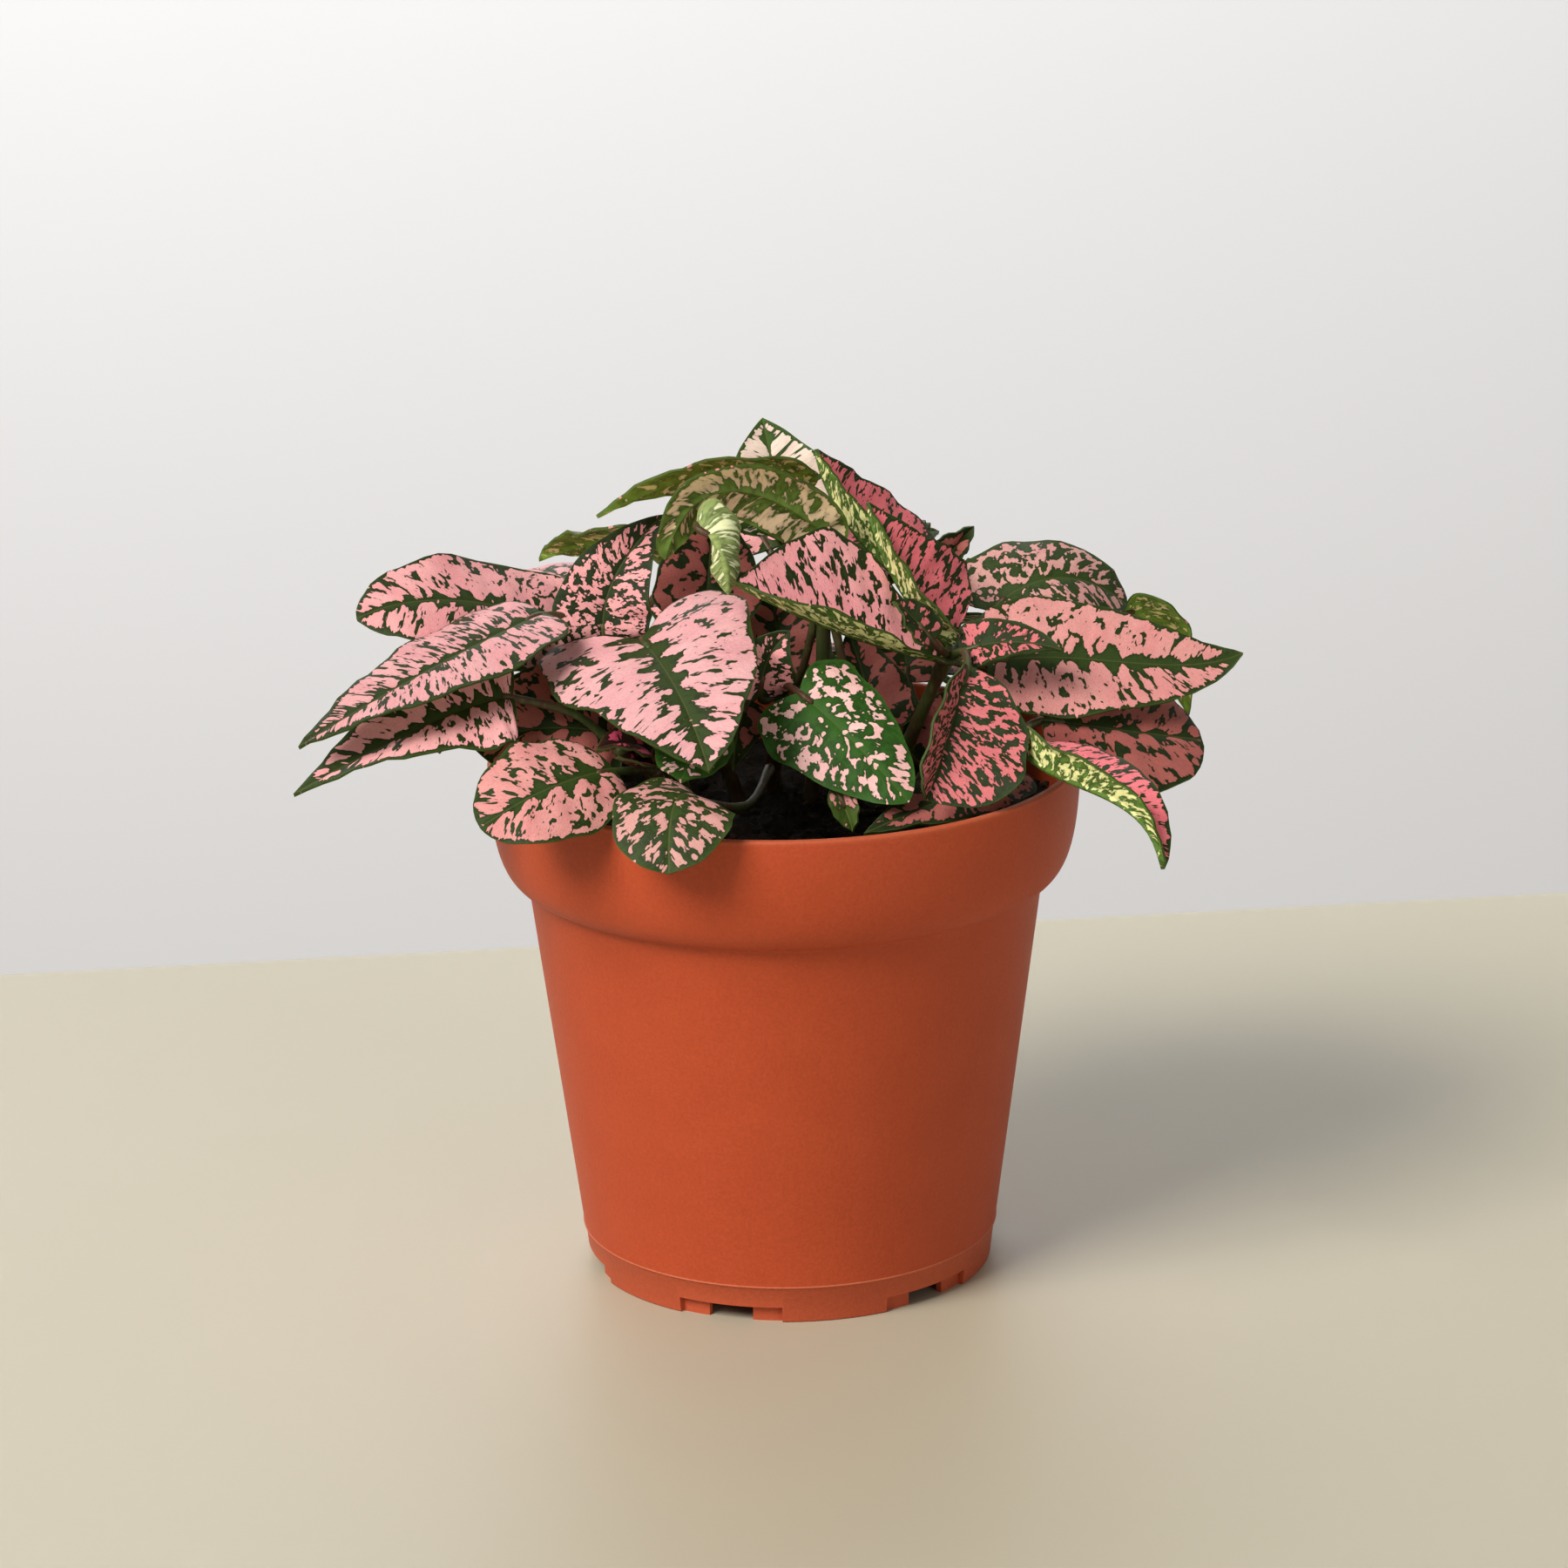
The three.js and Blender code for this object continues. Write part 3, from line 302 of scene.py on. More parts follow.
        Leaf("back_left_high", 1, ((-36, 34, 118), (-47, 44, 120), (-57, 52, 112)),
             (-0.1, 0.2, 1), 26, (4, -15), (4, -15), 0.6, PALE),
        Leaf("back_left_side", 0.8, ((-38, 28, 110), (-52, 31, 109), (-66, 34, 101)),
             (-0.2, 0.1, 0.95), 24, (4, -15), (4, -15), 0.6, ROSY),
        Leaf("back_left_low", 0.8, ((-29, 36, 106), (-33, 47, 102), (-36, 56, 91)),
             (-0.2, 0.5, 0.8), 24, (4, -15), (4, -15), 0.6, DOTTED),
        Leaf("inner_top", 0.95, ((-14, 9, 119), (-13, 12, 130), (-12, 13, 141)),
             (0.1, -0.9, 0.4), 21, (5, 0), (5, 0), 0.3, SHADE_DARKENED),
        Leaf("back_left_mid", 0.97, ((-12, 17, 116), (-20, 25, 119), (-30, 32, 116)),
             (-0.1, 0.1, 1), 20, (4, -15), (4, -15), 0.5, DEEP),
        Leaf("left_behind", 0.97, ((-34, 15, 120), (-46, 17, 122), (-58, 18, 117)),
             (-0.1, 0, 1), 19, (4, -15), (4, -15), 0.5, ROSY),
    ]),
}

# ---- shaping ----


def cubic(a, b, c, d, t):
    s = 1 - t
    return s * s * s * a + 3 * s * s * t * b + 3 * s * t * t * c + t * t * t * d


def handles(points):
    """The Bezier points of the curve that passes through three or four points at even steps."""
    p = [Vector(q) for q in points]
    if len(p) == 3:
        return [p[0], 2 * p[1] - (p[0] + p[2]) / 2, p[2]]
    near = (-5 * p[0] + 18 * p[1] - 9 * p[2] + 2 * p[3]) / 6
    far = (2 * p[0] - 9 * p[1] + 18 * p[2] - 5 * p[3]) / 6
    return [p[0], near, far, p[3]]


def on_bezier(points, t):
    """The point at t and the unit tangent there."""
    while len(points) > 2:
        points = [a.lerp(b, t) for a, b in zip(points, points[1:])]
    a, b = points
    return a.lerp(b, t), (b - a).normalized()


def on_path(points, t):
    """The point at t, from 0 to 1, on a smooth path through any number of points."""
    p = [Vector(q) for q in points]
    p = [2 * p[0] - p[1], *p, 2 * p[-1] - p[-2]]
    spans = len(p) - 3
    i = min(int(t * spans), spans - 1)
    s = t * spans - i
    a, b, c, d = p[i : i + 4]
    return (2 * b + (c - a) * s + (2 * a - 5 * b + 4 * c - d) * s**2 + (3 * b - a - 3 * c + d) * s**3) / 2


def made_object(name, bm, *materials):
    """An object made from a bmesh."""
    mesh = bpy.data.meshes.new(name)
    bm.to_mesh(mesh)
    bm.free()
    for material in materials:
        mesh.materials.append(material)
    made = bpy.data.objects.new(name, mesh)
    bpy.context.scene.collection.objects.link(made)
    return made


def finish_piece(name, bm, materials, node):
    """A finished piece in metres that stands for a node and rides with it."""
    bmesh.ops.scale(bm, vec=(MM, MM, MM), verts=bm.verts)
    piece = made_object(name, bm, *materials)
    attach(piece, "root")
    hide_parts(node)
    return piece


# ---- leafy stems ----

UPPER, UNDER, STALK = range(3)  # materials of a leafy stem, in their order

# What a blade's points carry: where its marks lie; how they lean, how far green runs out from the
# midrib and how freely it is dotted; the mm to the midrib and to the margin and how freely it is
# specked; and the way out of the blade. Its three colours follow.
BLADE_VECTORS = ("mark_place", "mark_lean", "blade_place", "out_of_blade")
BLADE_COLOURS = ("splash", "ground", "under")


def rounded_stalk(bm, points, radius, sides, steps):
    """A closed stem or stalk along a smooth path; radius is a function of the share of the way."""
    made = bmesh.ops.create_grid(bm, x_segments=sides, y_segments=steps, size=0.5)["verts"]
    side = (Vector(points[-1]) - Vector(points[0])).orthogonal().normalized()
    step = 0.01
    for vert in made:
        angle = TURN * (vert.co.x + 0.5)
        t = min(max(vert.co.y + 0.5, 0), 1)
        ahead = on_path(points, min(t + step, 1)) - on_path(points, max(t - step, 0))
        right = ahead.cross(side).normalized()
        other = right.cross(ahead).normalized()
        reach = radius(t)
        vert.co = on_path(points, t) + reach * (math.cos(angle) * right + math.sin(angle) * other)
    bmesh.ops.remove_doubles(bm, verts=made, dist=MERGE)
    faces = list({face for vert in made if vert.is_valid for face in vert.link_faces})
    bmesh.ops.recalc_face_normals(bm, faces=faces)
    for face in faces:
        face.material_index = STALK
        face.smooth = True


def rib_frame(leaf, curve, length, along):
    """The midrib's point at a share of its length, and its three directions there: along it, to
    the right as the upper face is seen with the tip up, and out of the upper face."""
    t = min(max(along, 0), 1)
    point, tangent = on_bezier(curve, t)
    if along < 0:
        point = point + tangent * along * length
    turn = Matrix.Rotation(math.radians(leaf.twist * (t - 0.5)), 3, tangent)
    right = tangent.cross(turn @ Vector(leaf.face)).normalized()
    return point, tangent, right, right.cross(tangent).normalized()


def bent_point(leaf, curve, length, x, y):
    """A point of the flat blade, x to the right and y along, carried onto the bent blade."""
    along = y / length
    point, _, right, out = rib_frame(leaf, curve, length, along)
    fold_deg, curl_deg, *share = leaf.left if x < 0 else leaf.right
    half_width = (share[0] if share else 1) * leaf.width / 2
    q = 2 * abs(x) / leaf.width
    fold = math.radians(fold_deg)
    curl = math.radians(curl_deg) or 1e-3  # a flat half is bent too little to see
    across = (half_width / curl) * (math.sin(fold + curl * q) - math.sin(fold))
    lift = (half_width / curl) * (math.cos(fold) - math.cos(fold + curl * q))
    phase = EDGE_WAVE_PHASES[x >= 0]
    wave = leaf.wave * q * q * math.sin(TURN * EDGE_WAVES * along + phase)
    return point + right * math.copysign(across, x) + out * (lift + wave)


def vein_place(x, y, length):
    """Where the side vein through a point of the flat blade starts, as mm along the midrib."""
    return (y - VEIN_START * abs(x)) / (1 + VEIN_GAIN * abs(x) / length)


def relief(x, w, q):
    """Height of the quilting: a sunk midrib and side veins, with the blade puffed up between."""
    puff = 0.5 - 0.5 * math.cos(TURN * w / VEIN_SPACING)
    return QUILTING * puff * math.sin(math.pi * min(q, 1)) - RIB_SUNK * math.exp(-((x / RIB_WIDTH) ** 2))


def splash_lean(coat, w, along):
    """How far a point leans to a splash, or, below 0, to green, how far green runs out from the
    midrib there in mm, and how freely green is dotted."""
    vein = abs(math.cos(math.pi * w / VEIN_SPACING)) ** VEIN_SHARPNESS
    spread = GREEN_BETWEEN + GREEN_ALONG_VEIN * vein
    reach = coat.rib * spread * (GREEN_AT_STALK - GREEN_LOST_AT_TIP * along)
    return SHARE_LEAN * (coat.share - 0.5) - VEIN_LEAN * vein, reach, coat.dots


def blade_sheet(bm, leaf, curve, length, chance):
    """A blade's middle surface: a grid whose rows sweep from the midrib to the outline, bent, with
    its marks laid out in its layers and its quilting in the last of them."""
    coat = leaf.coat
    place, lean, spot, out_of = (bm.verts.layers.float_vector[name] for name in BLADE_VECTORS)
    splash, ground, under = (bm.verts.layers.float_color[name] for name in BLADE_COLOURS)
    columns, rows = SMALL_GRID if length < SMALL_LEAF else FULL_GRID
    made = bmesh.ops.create_grid(bm, x_segments=columns, y_segments=rows, size=0.5)["verts"]
    shoulder, waist = OUTLINES[leaf.outline]
    pattern = chance.uniform(0, PATTERNS)
    phase = chance.uniform(0, TURN)
    tone = chance.uniform(*TONES)
    for vert in made:
        side = math.copysign(abs(2 * vert.co.x) ** RIB_COLUMNS, vert.co.x)
        t = min(max(vert.co.y + 0.5, 0), 1) ** LOBE_ROWS
        ragged = 1 + RAGGED * math.sin(TURN * RAGGED_WAVES * t + phase + 2 * side)
        edge_x = cubic(0, shoulder[0], waist[0], 0, t) * leaf.width * ragged
        edge_y = cubic(0, shoulder[1], waist[1], 1, t) * length
        rib_y = t**ROW_SWEEP * length
        x = side * edge_x
        y = rib_y + (edge_y - rib_y) * abs(side)
        w = vein_place(x, y, length)
        vert.co = bent_point(leaf, curve, length, x, y)
        vert[place] = (w / coat.width, x / coat.length, pattern)
        vert[lean] = splash_lean(coat, w, y / length)
        vert[spot] = (abs(x), (1 - abs(side)) * edge_x, coat.specks)
        vert[splash] = [tone * c for c in linear(coat.splash)]
        vert[ground] = [tone * c for c in linear(coat.ground)]
        vert[under] = linear(coat.under)
        ripple = RIPPLE * abs(side) ** 4 * math.sin(TURN * RIPPLE_WAVES * y / length + phase)
        vert[out_of] = (relief(x, w, 2 * abs(x) / leaf.width) + ripple, x, 0)
    bmesh.ops.remove_doubles(bm, verts=made, dist=MERGE)
    return [vert for vert in made if vert.is_valid]


def blade(bm, leaf, curve, length, chance):
    """A closed blade: its middle surface, quilted and given its thickness."""
    made = blade_sheet(bm, leaf, curve, length, chance)
    out_of = bm.verts.layers.float_vector[BLADE_VECTORS[3]]
    sheet = list({face for vert in made for face in vert.link_faces})
    for part in sheet + made:
        part.normal_update()
    face_out = rib_frame(leaf, curve, length, 0.5)[3]
    facing = 1 if sum((v.normal.dot(face_out) for v in made), 0.0) > 0 else -1
    for vert in made:
        height, x, _ = vert[out_of]
        out = facing * vert.normal
        vert.co = vert.co + out * height
        vert[out_of] = out * (BLADE_THICK + RIB_THICK * math.exp(-((x / RIB_RIDGE_WIDTH) ** 2)))
    above = bmesh.ops.extrude_face_region(bm, geom=sheet)["geom"]
    raised = [g for g in above if isinstance(g, bmesh.types.BMVert)]
    tops = {g for g in above if isinstance(g, bmesh.types.BMFace)}
    for vert in raised:
        vert.co = vert.co + Vector(vert[out_of]).normalized() * BLADE_THICK / 2
    for vert in made:
        out = Vector(vert[out_of])
        vert.co = vert.co + out.normalized() * BLADE_THICK / 2 - out
    whole = list({face for vert in raised + made for face in vert.link_faces})
    bmesh.ops.recalc_face_normals(bm, faces=whole)
    lows = set(sheet)
    for face in whole:
        face.smooth = True
        face.material_index = UNDER if face in lows else UPPER
        if face not in tops and face not in lows:
            for edge in face.edges:
                edge.smooth = False


def stalk_radius(t):
    """A stalk is swollen where it leaves the stem, and tapers into the blade's midrib."""
    swelling = STALK_SWELL * math.exp(-((t / STALK_SWELL_LENGTH) ** 2))
    ends = 0 if t in (0, 1) else 1
    return ends * (STALK_RADIUS + swelling - STALK_THINNING * max(0, t - STALK_THINS_FROM))


def leaf_stalk(bm, leaf, curve, length, stem_path):
    """A leaf's stalk from inside the stem to a little way along the underside of the midrib."""
    start = on_path(stem_path, leaf.at)
    point, tangent, _, out = rib_frame(leaf, curve, length, 0)
    sunk_point, _, _, sunk_out = rib_frame(leaf, curve, length, STALK_SUNK / length)
    below = -(BLADE_THICK / 2 + STALK_BELOW)
    neck = point + out * below
    end = sunk_point + sunk_out * (below + STALK_RISE)
    bend = neck - tangent * 0.4 * (neck - start).length  # it comes in along the midrib
    middle = start.lerp(bend, 0.6).lerp(neck, 0.1)
    rounded_stalk(bm, [start, middle, neck, end], stalk_radius, STALK_SIDES, STALK_STEPS)


def leafy_stem(node, path, leaves, chance):
    """One shoot with its stalks and leaves."""
    bm = bmesh.new()
    for name in BLADE_VECTORS:
        bm.verts.layers.float_vector.new(name)
    for name in BLADE_COLOURS:
        bm.verts.layers.float_color.new(name)

    def stem_radius(t):
        swelling = sum(math.exp(-(((t - leaf.at) / JOINT_LENGTH) ** 2)) for leaf in leaves)
        plain = STEM_RADIUS * (STEM_FOOT - STEM_TAPER * t)
        return 0 if t in (0, 1) else plain + JOINT_SWELL * min(swelling, MOST_SWELL)

    rounded_stalk(bm, path, stem_radius, STEM_SIDES, STEM_STEPS)
    for leaf in leaves:
        curve = handles(leaf.rib)
        rib_points = [on_bezier(curve, i / RIB_STEPS)[0] for i in range(RIB_STEPS + 1)]
        length = sum((b - a).length for a, b in zip(rib_points, rib_points[1:]))
        leaf_stalk(bm, leaf, curve, length, path)
        blade(bm, leaf, curve, length, chance)
    finish_piece(node.replace("leafy_", "foliage_"), bm, [leaf_upper_face, leaf_underside, stalk_skin],
                 node)


# ---- materials ----

# Sizes of patterns. On a blade they are counts to the length or width of its coat's marks, and on
# the other pieces counts to the millimetre.
BLOTCHES = 0.9
TEETH = 2.3  # along the edges of the splashes
DOT_CELLS = 0.95  # each may hold one round dot
DOT_CHANCE, DOT_LEAST = 0.75, -0.35  # a dot's radius in its cell goes from below 0 to 0.4
LEAF_CELLS = 7.0  # about 0.2 by 0.4 mm, where real ones are 0.05 mm and too fine to show
LEAF_CLOUDS = 0.22
UNDER_CLOUDS = 0.8
STALK_PATCHES = 0.12
STALK_STREAKS = 1.1
STREAK_STRETCH = 0.3  # upwards
PLASTIC_CLOUDS = 0.09
PLASTIC_GRAIN = 1.6  # about 0.6 mm, where the mould's grain is 0.2 mm and too fine to show
PEAT_GRAIN = 0.9

FLUSH = (0.96, 0.85, 0.88)  # how a splash's colour is scaled where it is flushed deepest
RIB_THREAD, MARGIN_GREEN = "#6f6a40", "#55702e"


def linear(hex_colour):
    """An sRGB hex colour as the linear RGBA that a shader takes."""
    parts = [int(hex_colour[i : i + 2], 16) / 255 for i in (1, 3, 5)]
    return [p / 12.92 if p <= 0.04045 else ((p + 0.055) / 1.055) ** 2.4 for p in parts] + [1.0]


def add(tree, kind, inputs=(), output=0, **settings):
    """Adds a node with its settings and gives one of its outputs, or all of them where output is
    None. Its inputs are in order, or by name, and each is a link, a value or a hex colour."""
    node = tree.nodes.new("ShaderNode" + kind)
    for name, value in settings.items():
        setattr(node, name, value)
    for key, value in inputs.items() if isinstance(inputs, dict) else enumerate(inputs):
        if isinstance(value, bpy.types.NodeSocket):
            tree.links.new(value, node.inputs[key])
        else:
            node.inputs[key].default_value = linear(value) if isinstance(value, str) else value
    return node.outputs if output is None else node.outputs[output]


def new_material(name):
    """An empty node material and its tree."""
    material = bpy.data.materials.new(name)
    material.use_nodes = True
    material.node_tree.nodes.clear()
    return material, material.node_tree


def shade(tree, colour, settings, height=None, depth_mm=0.1):
    """Ends a tree with one shader; height, where given, is raised relief of a depth in mm."""
    inputs = {"Base Color": colour, **settings}
    if height is not None:
        inputs["Normal"] = add(tree, "Bump", {"Distance": depth_mm * MM, "Height": height})
    add(tree, "OutputMaterial", {"Surface": add(tree, "BsdfPrincipled", inputs)}, None)


def in_millimetres(tree, stretch=1):
    """A piece's own places in millimetres, with upward lengths scaled by the stretch."""
    where = add(tree, "TexCoord", output="Object")
    return add(tree, "Mapping", {"Vector": where, "Scale": (1 / MM, 1 / MM, stretch / MM)})


def carried(tree, names, output):
    """What a piece's points carry under some names."""
    return [add(tree, "Attribute", output=output, attribute_name=name) for name in names]


def darkened(tree, colour, value, low, high, dark, light):
    """A colour made darker where a value is low and lighter where it is high."""
    level = add(tree, "MapRange", (value, low, high, dark, light))
    return add(tree, "VectorMath", {0: colour, "Scale": level}, operation="SCALE")


def painted(tree, base, *coats):
    """A base colour with others laid over it in turn, each by its share."""
    for colour, share in coats:
        base = add(tree, "Mix", {"Factor": share, "A": base, "B": colour}, "Result", data_type="RGBA")
    return base


def marks(tree, soft, closeness, bias):
    """Where a blade is splashed: how strongly a point leans to a splash, with 0.5 at a splash's
    edge; the splashes from 0 to 1, dotted and specked; and the blade's own places. Edges are as
    soft as soft, marks as close each way as closeness, and splashes fewer by the bias."""
    place, lean, spot = carried(tree, BLADE_VECTORS[:3], "Vector")
    place = add(tree, "VectorMath", (place, closeness), operation="MULTIPLY")
    lean = add(tree, "SeparateXYZ", (lean,), None)
    spot = add(tree, "SeparateXYZ", (spot,), None)
    blotch = add(tree, "TexNoise", {"Vector": place, "Scale": BLOTCHES, "Distortion": 0.4})
    teeth = add(tree, "TexNoise", {"Vector": place, "Scale": TEETH, "Detail": 1.0, "Distortion": 0.3})
    jagged = add(tree, "Math", (teeth, 0.2, -0.1 - bias), operation="MULTIPLY_ADD")
    # Green holds near the midrib and, more narrowly, along the margin.
    out = add(tree, "Math", (spot["X"], lean["Y"]), operation="DIVIDE")
    rib = add(tree, "MapRange", (out, 0.1, 1.3, -0.4, 0.0), interpolation_type="SMOOTHSTEP")
    margin = add(tree, "MapRange", (spot["Y"], 0.1, 0.9, -0.26, 0.0))
    total = blotch
    for part in (jagged, lean["X"], rib, margin):
        total = add(tree, "Math", (total, part), operation="ADD")
    splashed = add(tree, "MapRange", (total, 0.5 - soft, 0.5 + soft), interpolation_type="SMOOTHSTEP")
    # Some cells hold a round dot of the splash's colour, and green specks lie on the splashes.
    cells = add(tree, "TexVoronoi", {"Vector": place, "Scale": DOT_CELLS}, None)
    draw = add(tree, "SeparateXYZ", (cells["Color"],), "X")
    radius = add(tree, "Math", (draw, DOT_CHANCE, DOT_LEAST), operation="MULTIPLY_ADD")
    radius = add(tree, "Math", (radius, lean["Z"]), operation="MULTIPLY")
    dots = add(tree, "Math", (cells["Distance"], radius), operation="LESS_THAN")
    most = add(tree, "MapRange", (spot["Z"], 0.0, 1.0, 0.15, 0.43))
    specks = add(tree, "Math", (teeth, most), operation="GREATER_THAN")
    dotted = add(tree, "Math", (splashed, dots), operation="MAXIMUM")
    specked = add(tree, "Math", (dotted, specks), operation="MINIMUM")
    return total, specked, place, spot


def make_leaf_upper_face():
    """Living leaf, upper face: a soft satin cuticle over pink splashes on dark green, flushed
    deeper in places, with a fine cell grain, a faint brownish thread along the midrib and a
    lighter green margin."""
    material, tree = new_material("variegated_leaf_upper")
    total, splashed, place, spot = marks(tree, 0.016, (1, 1, 1), 0)
    splash, ground = carried(tree, BLADE_COLOURS[:2], "Color")
    cloud = add(tree, "TexNoise", {"Vector": place, "Scale": LEAF_CLOUDS})
    deep = add(tree, "VectorMath", (splash, FLUSH), operation="MULTIPLY")
    flushed = add(tree, "MapRange", (cloud, 0.62, 0.34))
    pink = darkened(tree, painted(tree, splash, (deep, flushed)), total, 0.5, 0.8, 0.96, 1.06)
    green = darkened(tree, ground, total, 0.25, 0.49, 0.95, 0.5)
    thread = add(tree, "MapRange", (spot["X"], 0.06, 0.2, 0.3, 0.0))
    edge = add(tree, "MapRange", (spot["Y"], 0.0, 0.15, 0.35, 0.0))
    marked = painted(tree, green, (RIB_THREAD, thread), (MARGIN_GREEN, edge), (pink, splashed))
    cells = add(tree, "TexNoise", {"Vector": place, "Scale": LEAF_CELLS})
    shade(tree, darkened(tree, marked, cells, 0.32, 0.68, 0.9, 1.1),
          {"Roughness": 0.52, "Specular IOR Level": 0.2, "Subsurface Weight": 0.05,
           "Subsurface Scale": 0.001}, cells, 0.1)
    return material


def make_leaf_underside():
    """Living leaf, underside: paler yellow-green, duller than above, where the splashes show
    through as cream."""
    material, tree = new_material("variegated_leaf_underside")
    total, splashed, place, _ = marks(tree, 0.03, (1.1, 0.95, 1), 0.06)
    ground, under = carried(tree, BLADE_COLOURS[1:], "Color")
    cloud = add(tree, "TexNoise", {"Vector": place, "Scale": UNDER_CLOUDS})
    green = darkened(tree, ground, cloud, 0.3, 0.7, 1.9, 3.9)
    green = darkened(tree, green, total, 0.36, 0.49, 1.3, 0.6)
    cream = darkened(tree, under, total, 0.5, 0.62, 0.85, 1.2)
    shade(tree, painted(tree, green, (cream, splashed)),
          {"Roughness": 0.58, "Specular IOR Level": 0.2, "Subsurface Weight": 0.2,
           "Subsurface Radius": (0.7, 1.0, 0.25), "Subsurface Scale": 0.001}, cloud, 0.25)
    return material


def make_stalk_skin():
    """Living stem and stalks: smooth green skin flushed with red-brown, with fine long streaks."""
    material, tree = new_material("green_stalk")
    place = in_millimetres(tree, STREAK_STRETCH)
    patch = add(tree, "TexNoise", {"Vector": place, "Scale": STALK_PATCHES})
    streak = add(tree, "TexNoise", {"Vector": place, "Scale": STALK_STREAKS, "Detail": 3.0})
    flushed = add(tree, "MapRange", (patch, 0.4, 0.62))
    streaked = add(tree, "MapRange", (streak, 0.5, 0.75, 0.0, 0.45))
    skin = painted(tree, "#3a4a20", ("#4e3022", flushed), ("#66733c", streaked))
    shade(tree, skin, {"Roughness": 0.5, "Specular IOR Level": 0.4}, streak, 0.1)
    return material


def make_nursery_plastic():
    """Terracotta-coloured polypropylene, injection moulded: matte, with a fine leathery grain, a
    painted highlight along the mould line, paler along the lip, and a little pinker below the mould line."""
    material, tree = new_material("terracotta_polypropylene")
    place = in_millimetres(tree)
    height = add(tree, "SeparateXYZ", (place,), "Z")
    cloud = add(tree, "TexNoise", {"Vector": place, "Scale": PLASTIC_CLOUDS, "Detail": 3.0})
    grain = add(tree, "TexNoise", {"Vector": place, "Scale": PLASTIC_GRAIN, "Detail": 3.0, "Roughness": 0.6})
    below = add(tree, "MapRange", (height, FLASH_Z + 0.2, FLASH_Z - 0.4, 0.0, 0.6))
    # Painted highlight: the fine bead of the mould line is drawn paler, as where light catches it.
    line = add(tree, "Math", (height, FLASH_Z, 0.22), operation="COMPARE")
    painted_flash_highlight = add(tree, "Math", (line, 0.4), operation="MULTIPLY")
    lip = add(tree, "MapRange", (height, POT_HEIGHT - 1.0, POT_HEIGHT - 0.3, 0.0, 0.5))
    body = painted(tree, "#b04726", ("#b94e2b", cloud), ("#bb5a3b", below), ("#cf8463", painted_flash_highlight),
                   ("#c06444", lip))
    shade(tree, darkened(tree, body, grain, 0.35, 0.65, 0.93, 1.06),
          {"Roughness": 0.52, "Specular IOR Level": 0.25}, grain, 0.06)
    return material


def make_damp_peat():
    """Damp sphagnum peat: nearly black, crumbly and dull, with brown fibres and a few olive beads
    of moss."""
    material, tree = new_material("damp_peat")
    crumb = add(tree, "TexNoise", {"Vector": in_millimetres(tree), "Scale": PEAT_GRAIN, "Detail": 5.0,
                                   "Roughness": 0.7})
    tint = carried(tree, ["crumb_tint"], "Color")[0]
    shade(tree, darkened(tree, tint, crumb, 0.35, 0.7, 0.45, 1.5),
          {"Roughness": 0.9, "Specular IOR Level": 0.25}, crumb, 0.6)
    return material


leaf_upper_face = make_leaf_upper_face()
leaf_underside = make_leaf_underside()
stalk_skin = make_stalk_skin()
nursery_plastic = make_nursery_plastic()
damp_peat = make_damp_peat()

# ---- building the pot ----


def spun(bm, profile):
    """A chain of (radius, height) points turned about the Z axis, with its faces outwards."""
    verts = [bm.verts.new((r, 0, z)) for r, z in profile]
    edges = [bm.edges.new(pair) for pair in zip(verts, verts[1:])]
    bmesh.ops.spin(bm, geom=verts + edges, cent=(0, 0, 0), axis=(0, 0, 1), steps=ROUND_STEPS, angle=TURN,
                   use_merge=True)
    bmesh.ops.remove_doubles(bm, verts=bm.verts, dist=MERGE)
    bmesh.ops.recalc_face_normals(bm, faces=bm.faces)


def arc(centre, radius, start_deg, end_deg, steps):
    """Points of a round corner in a profile."""
    angles = [math.radians(start_deg + (end_deg - start_deg) * i / steps) for i in range(steps + 1)]
    return [(centre[0] + radius * math.cos(a), centre[1] + radius * math.sin(a)) for a in angles]


def wall_radius(z):
    """Outer radius of the plain wall between the mould line and the rim band."""
    share = (z - FLASH_Z) / (BAND_FOOT_Z - FLASH_Z)
    return WALL_FOOT_RADIUS + share * (WALL_TOP_RADIUS - WALL_FOOT_RADIUS)


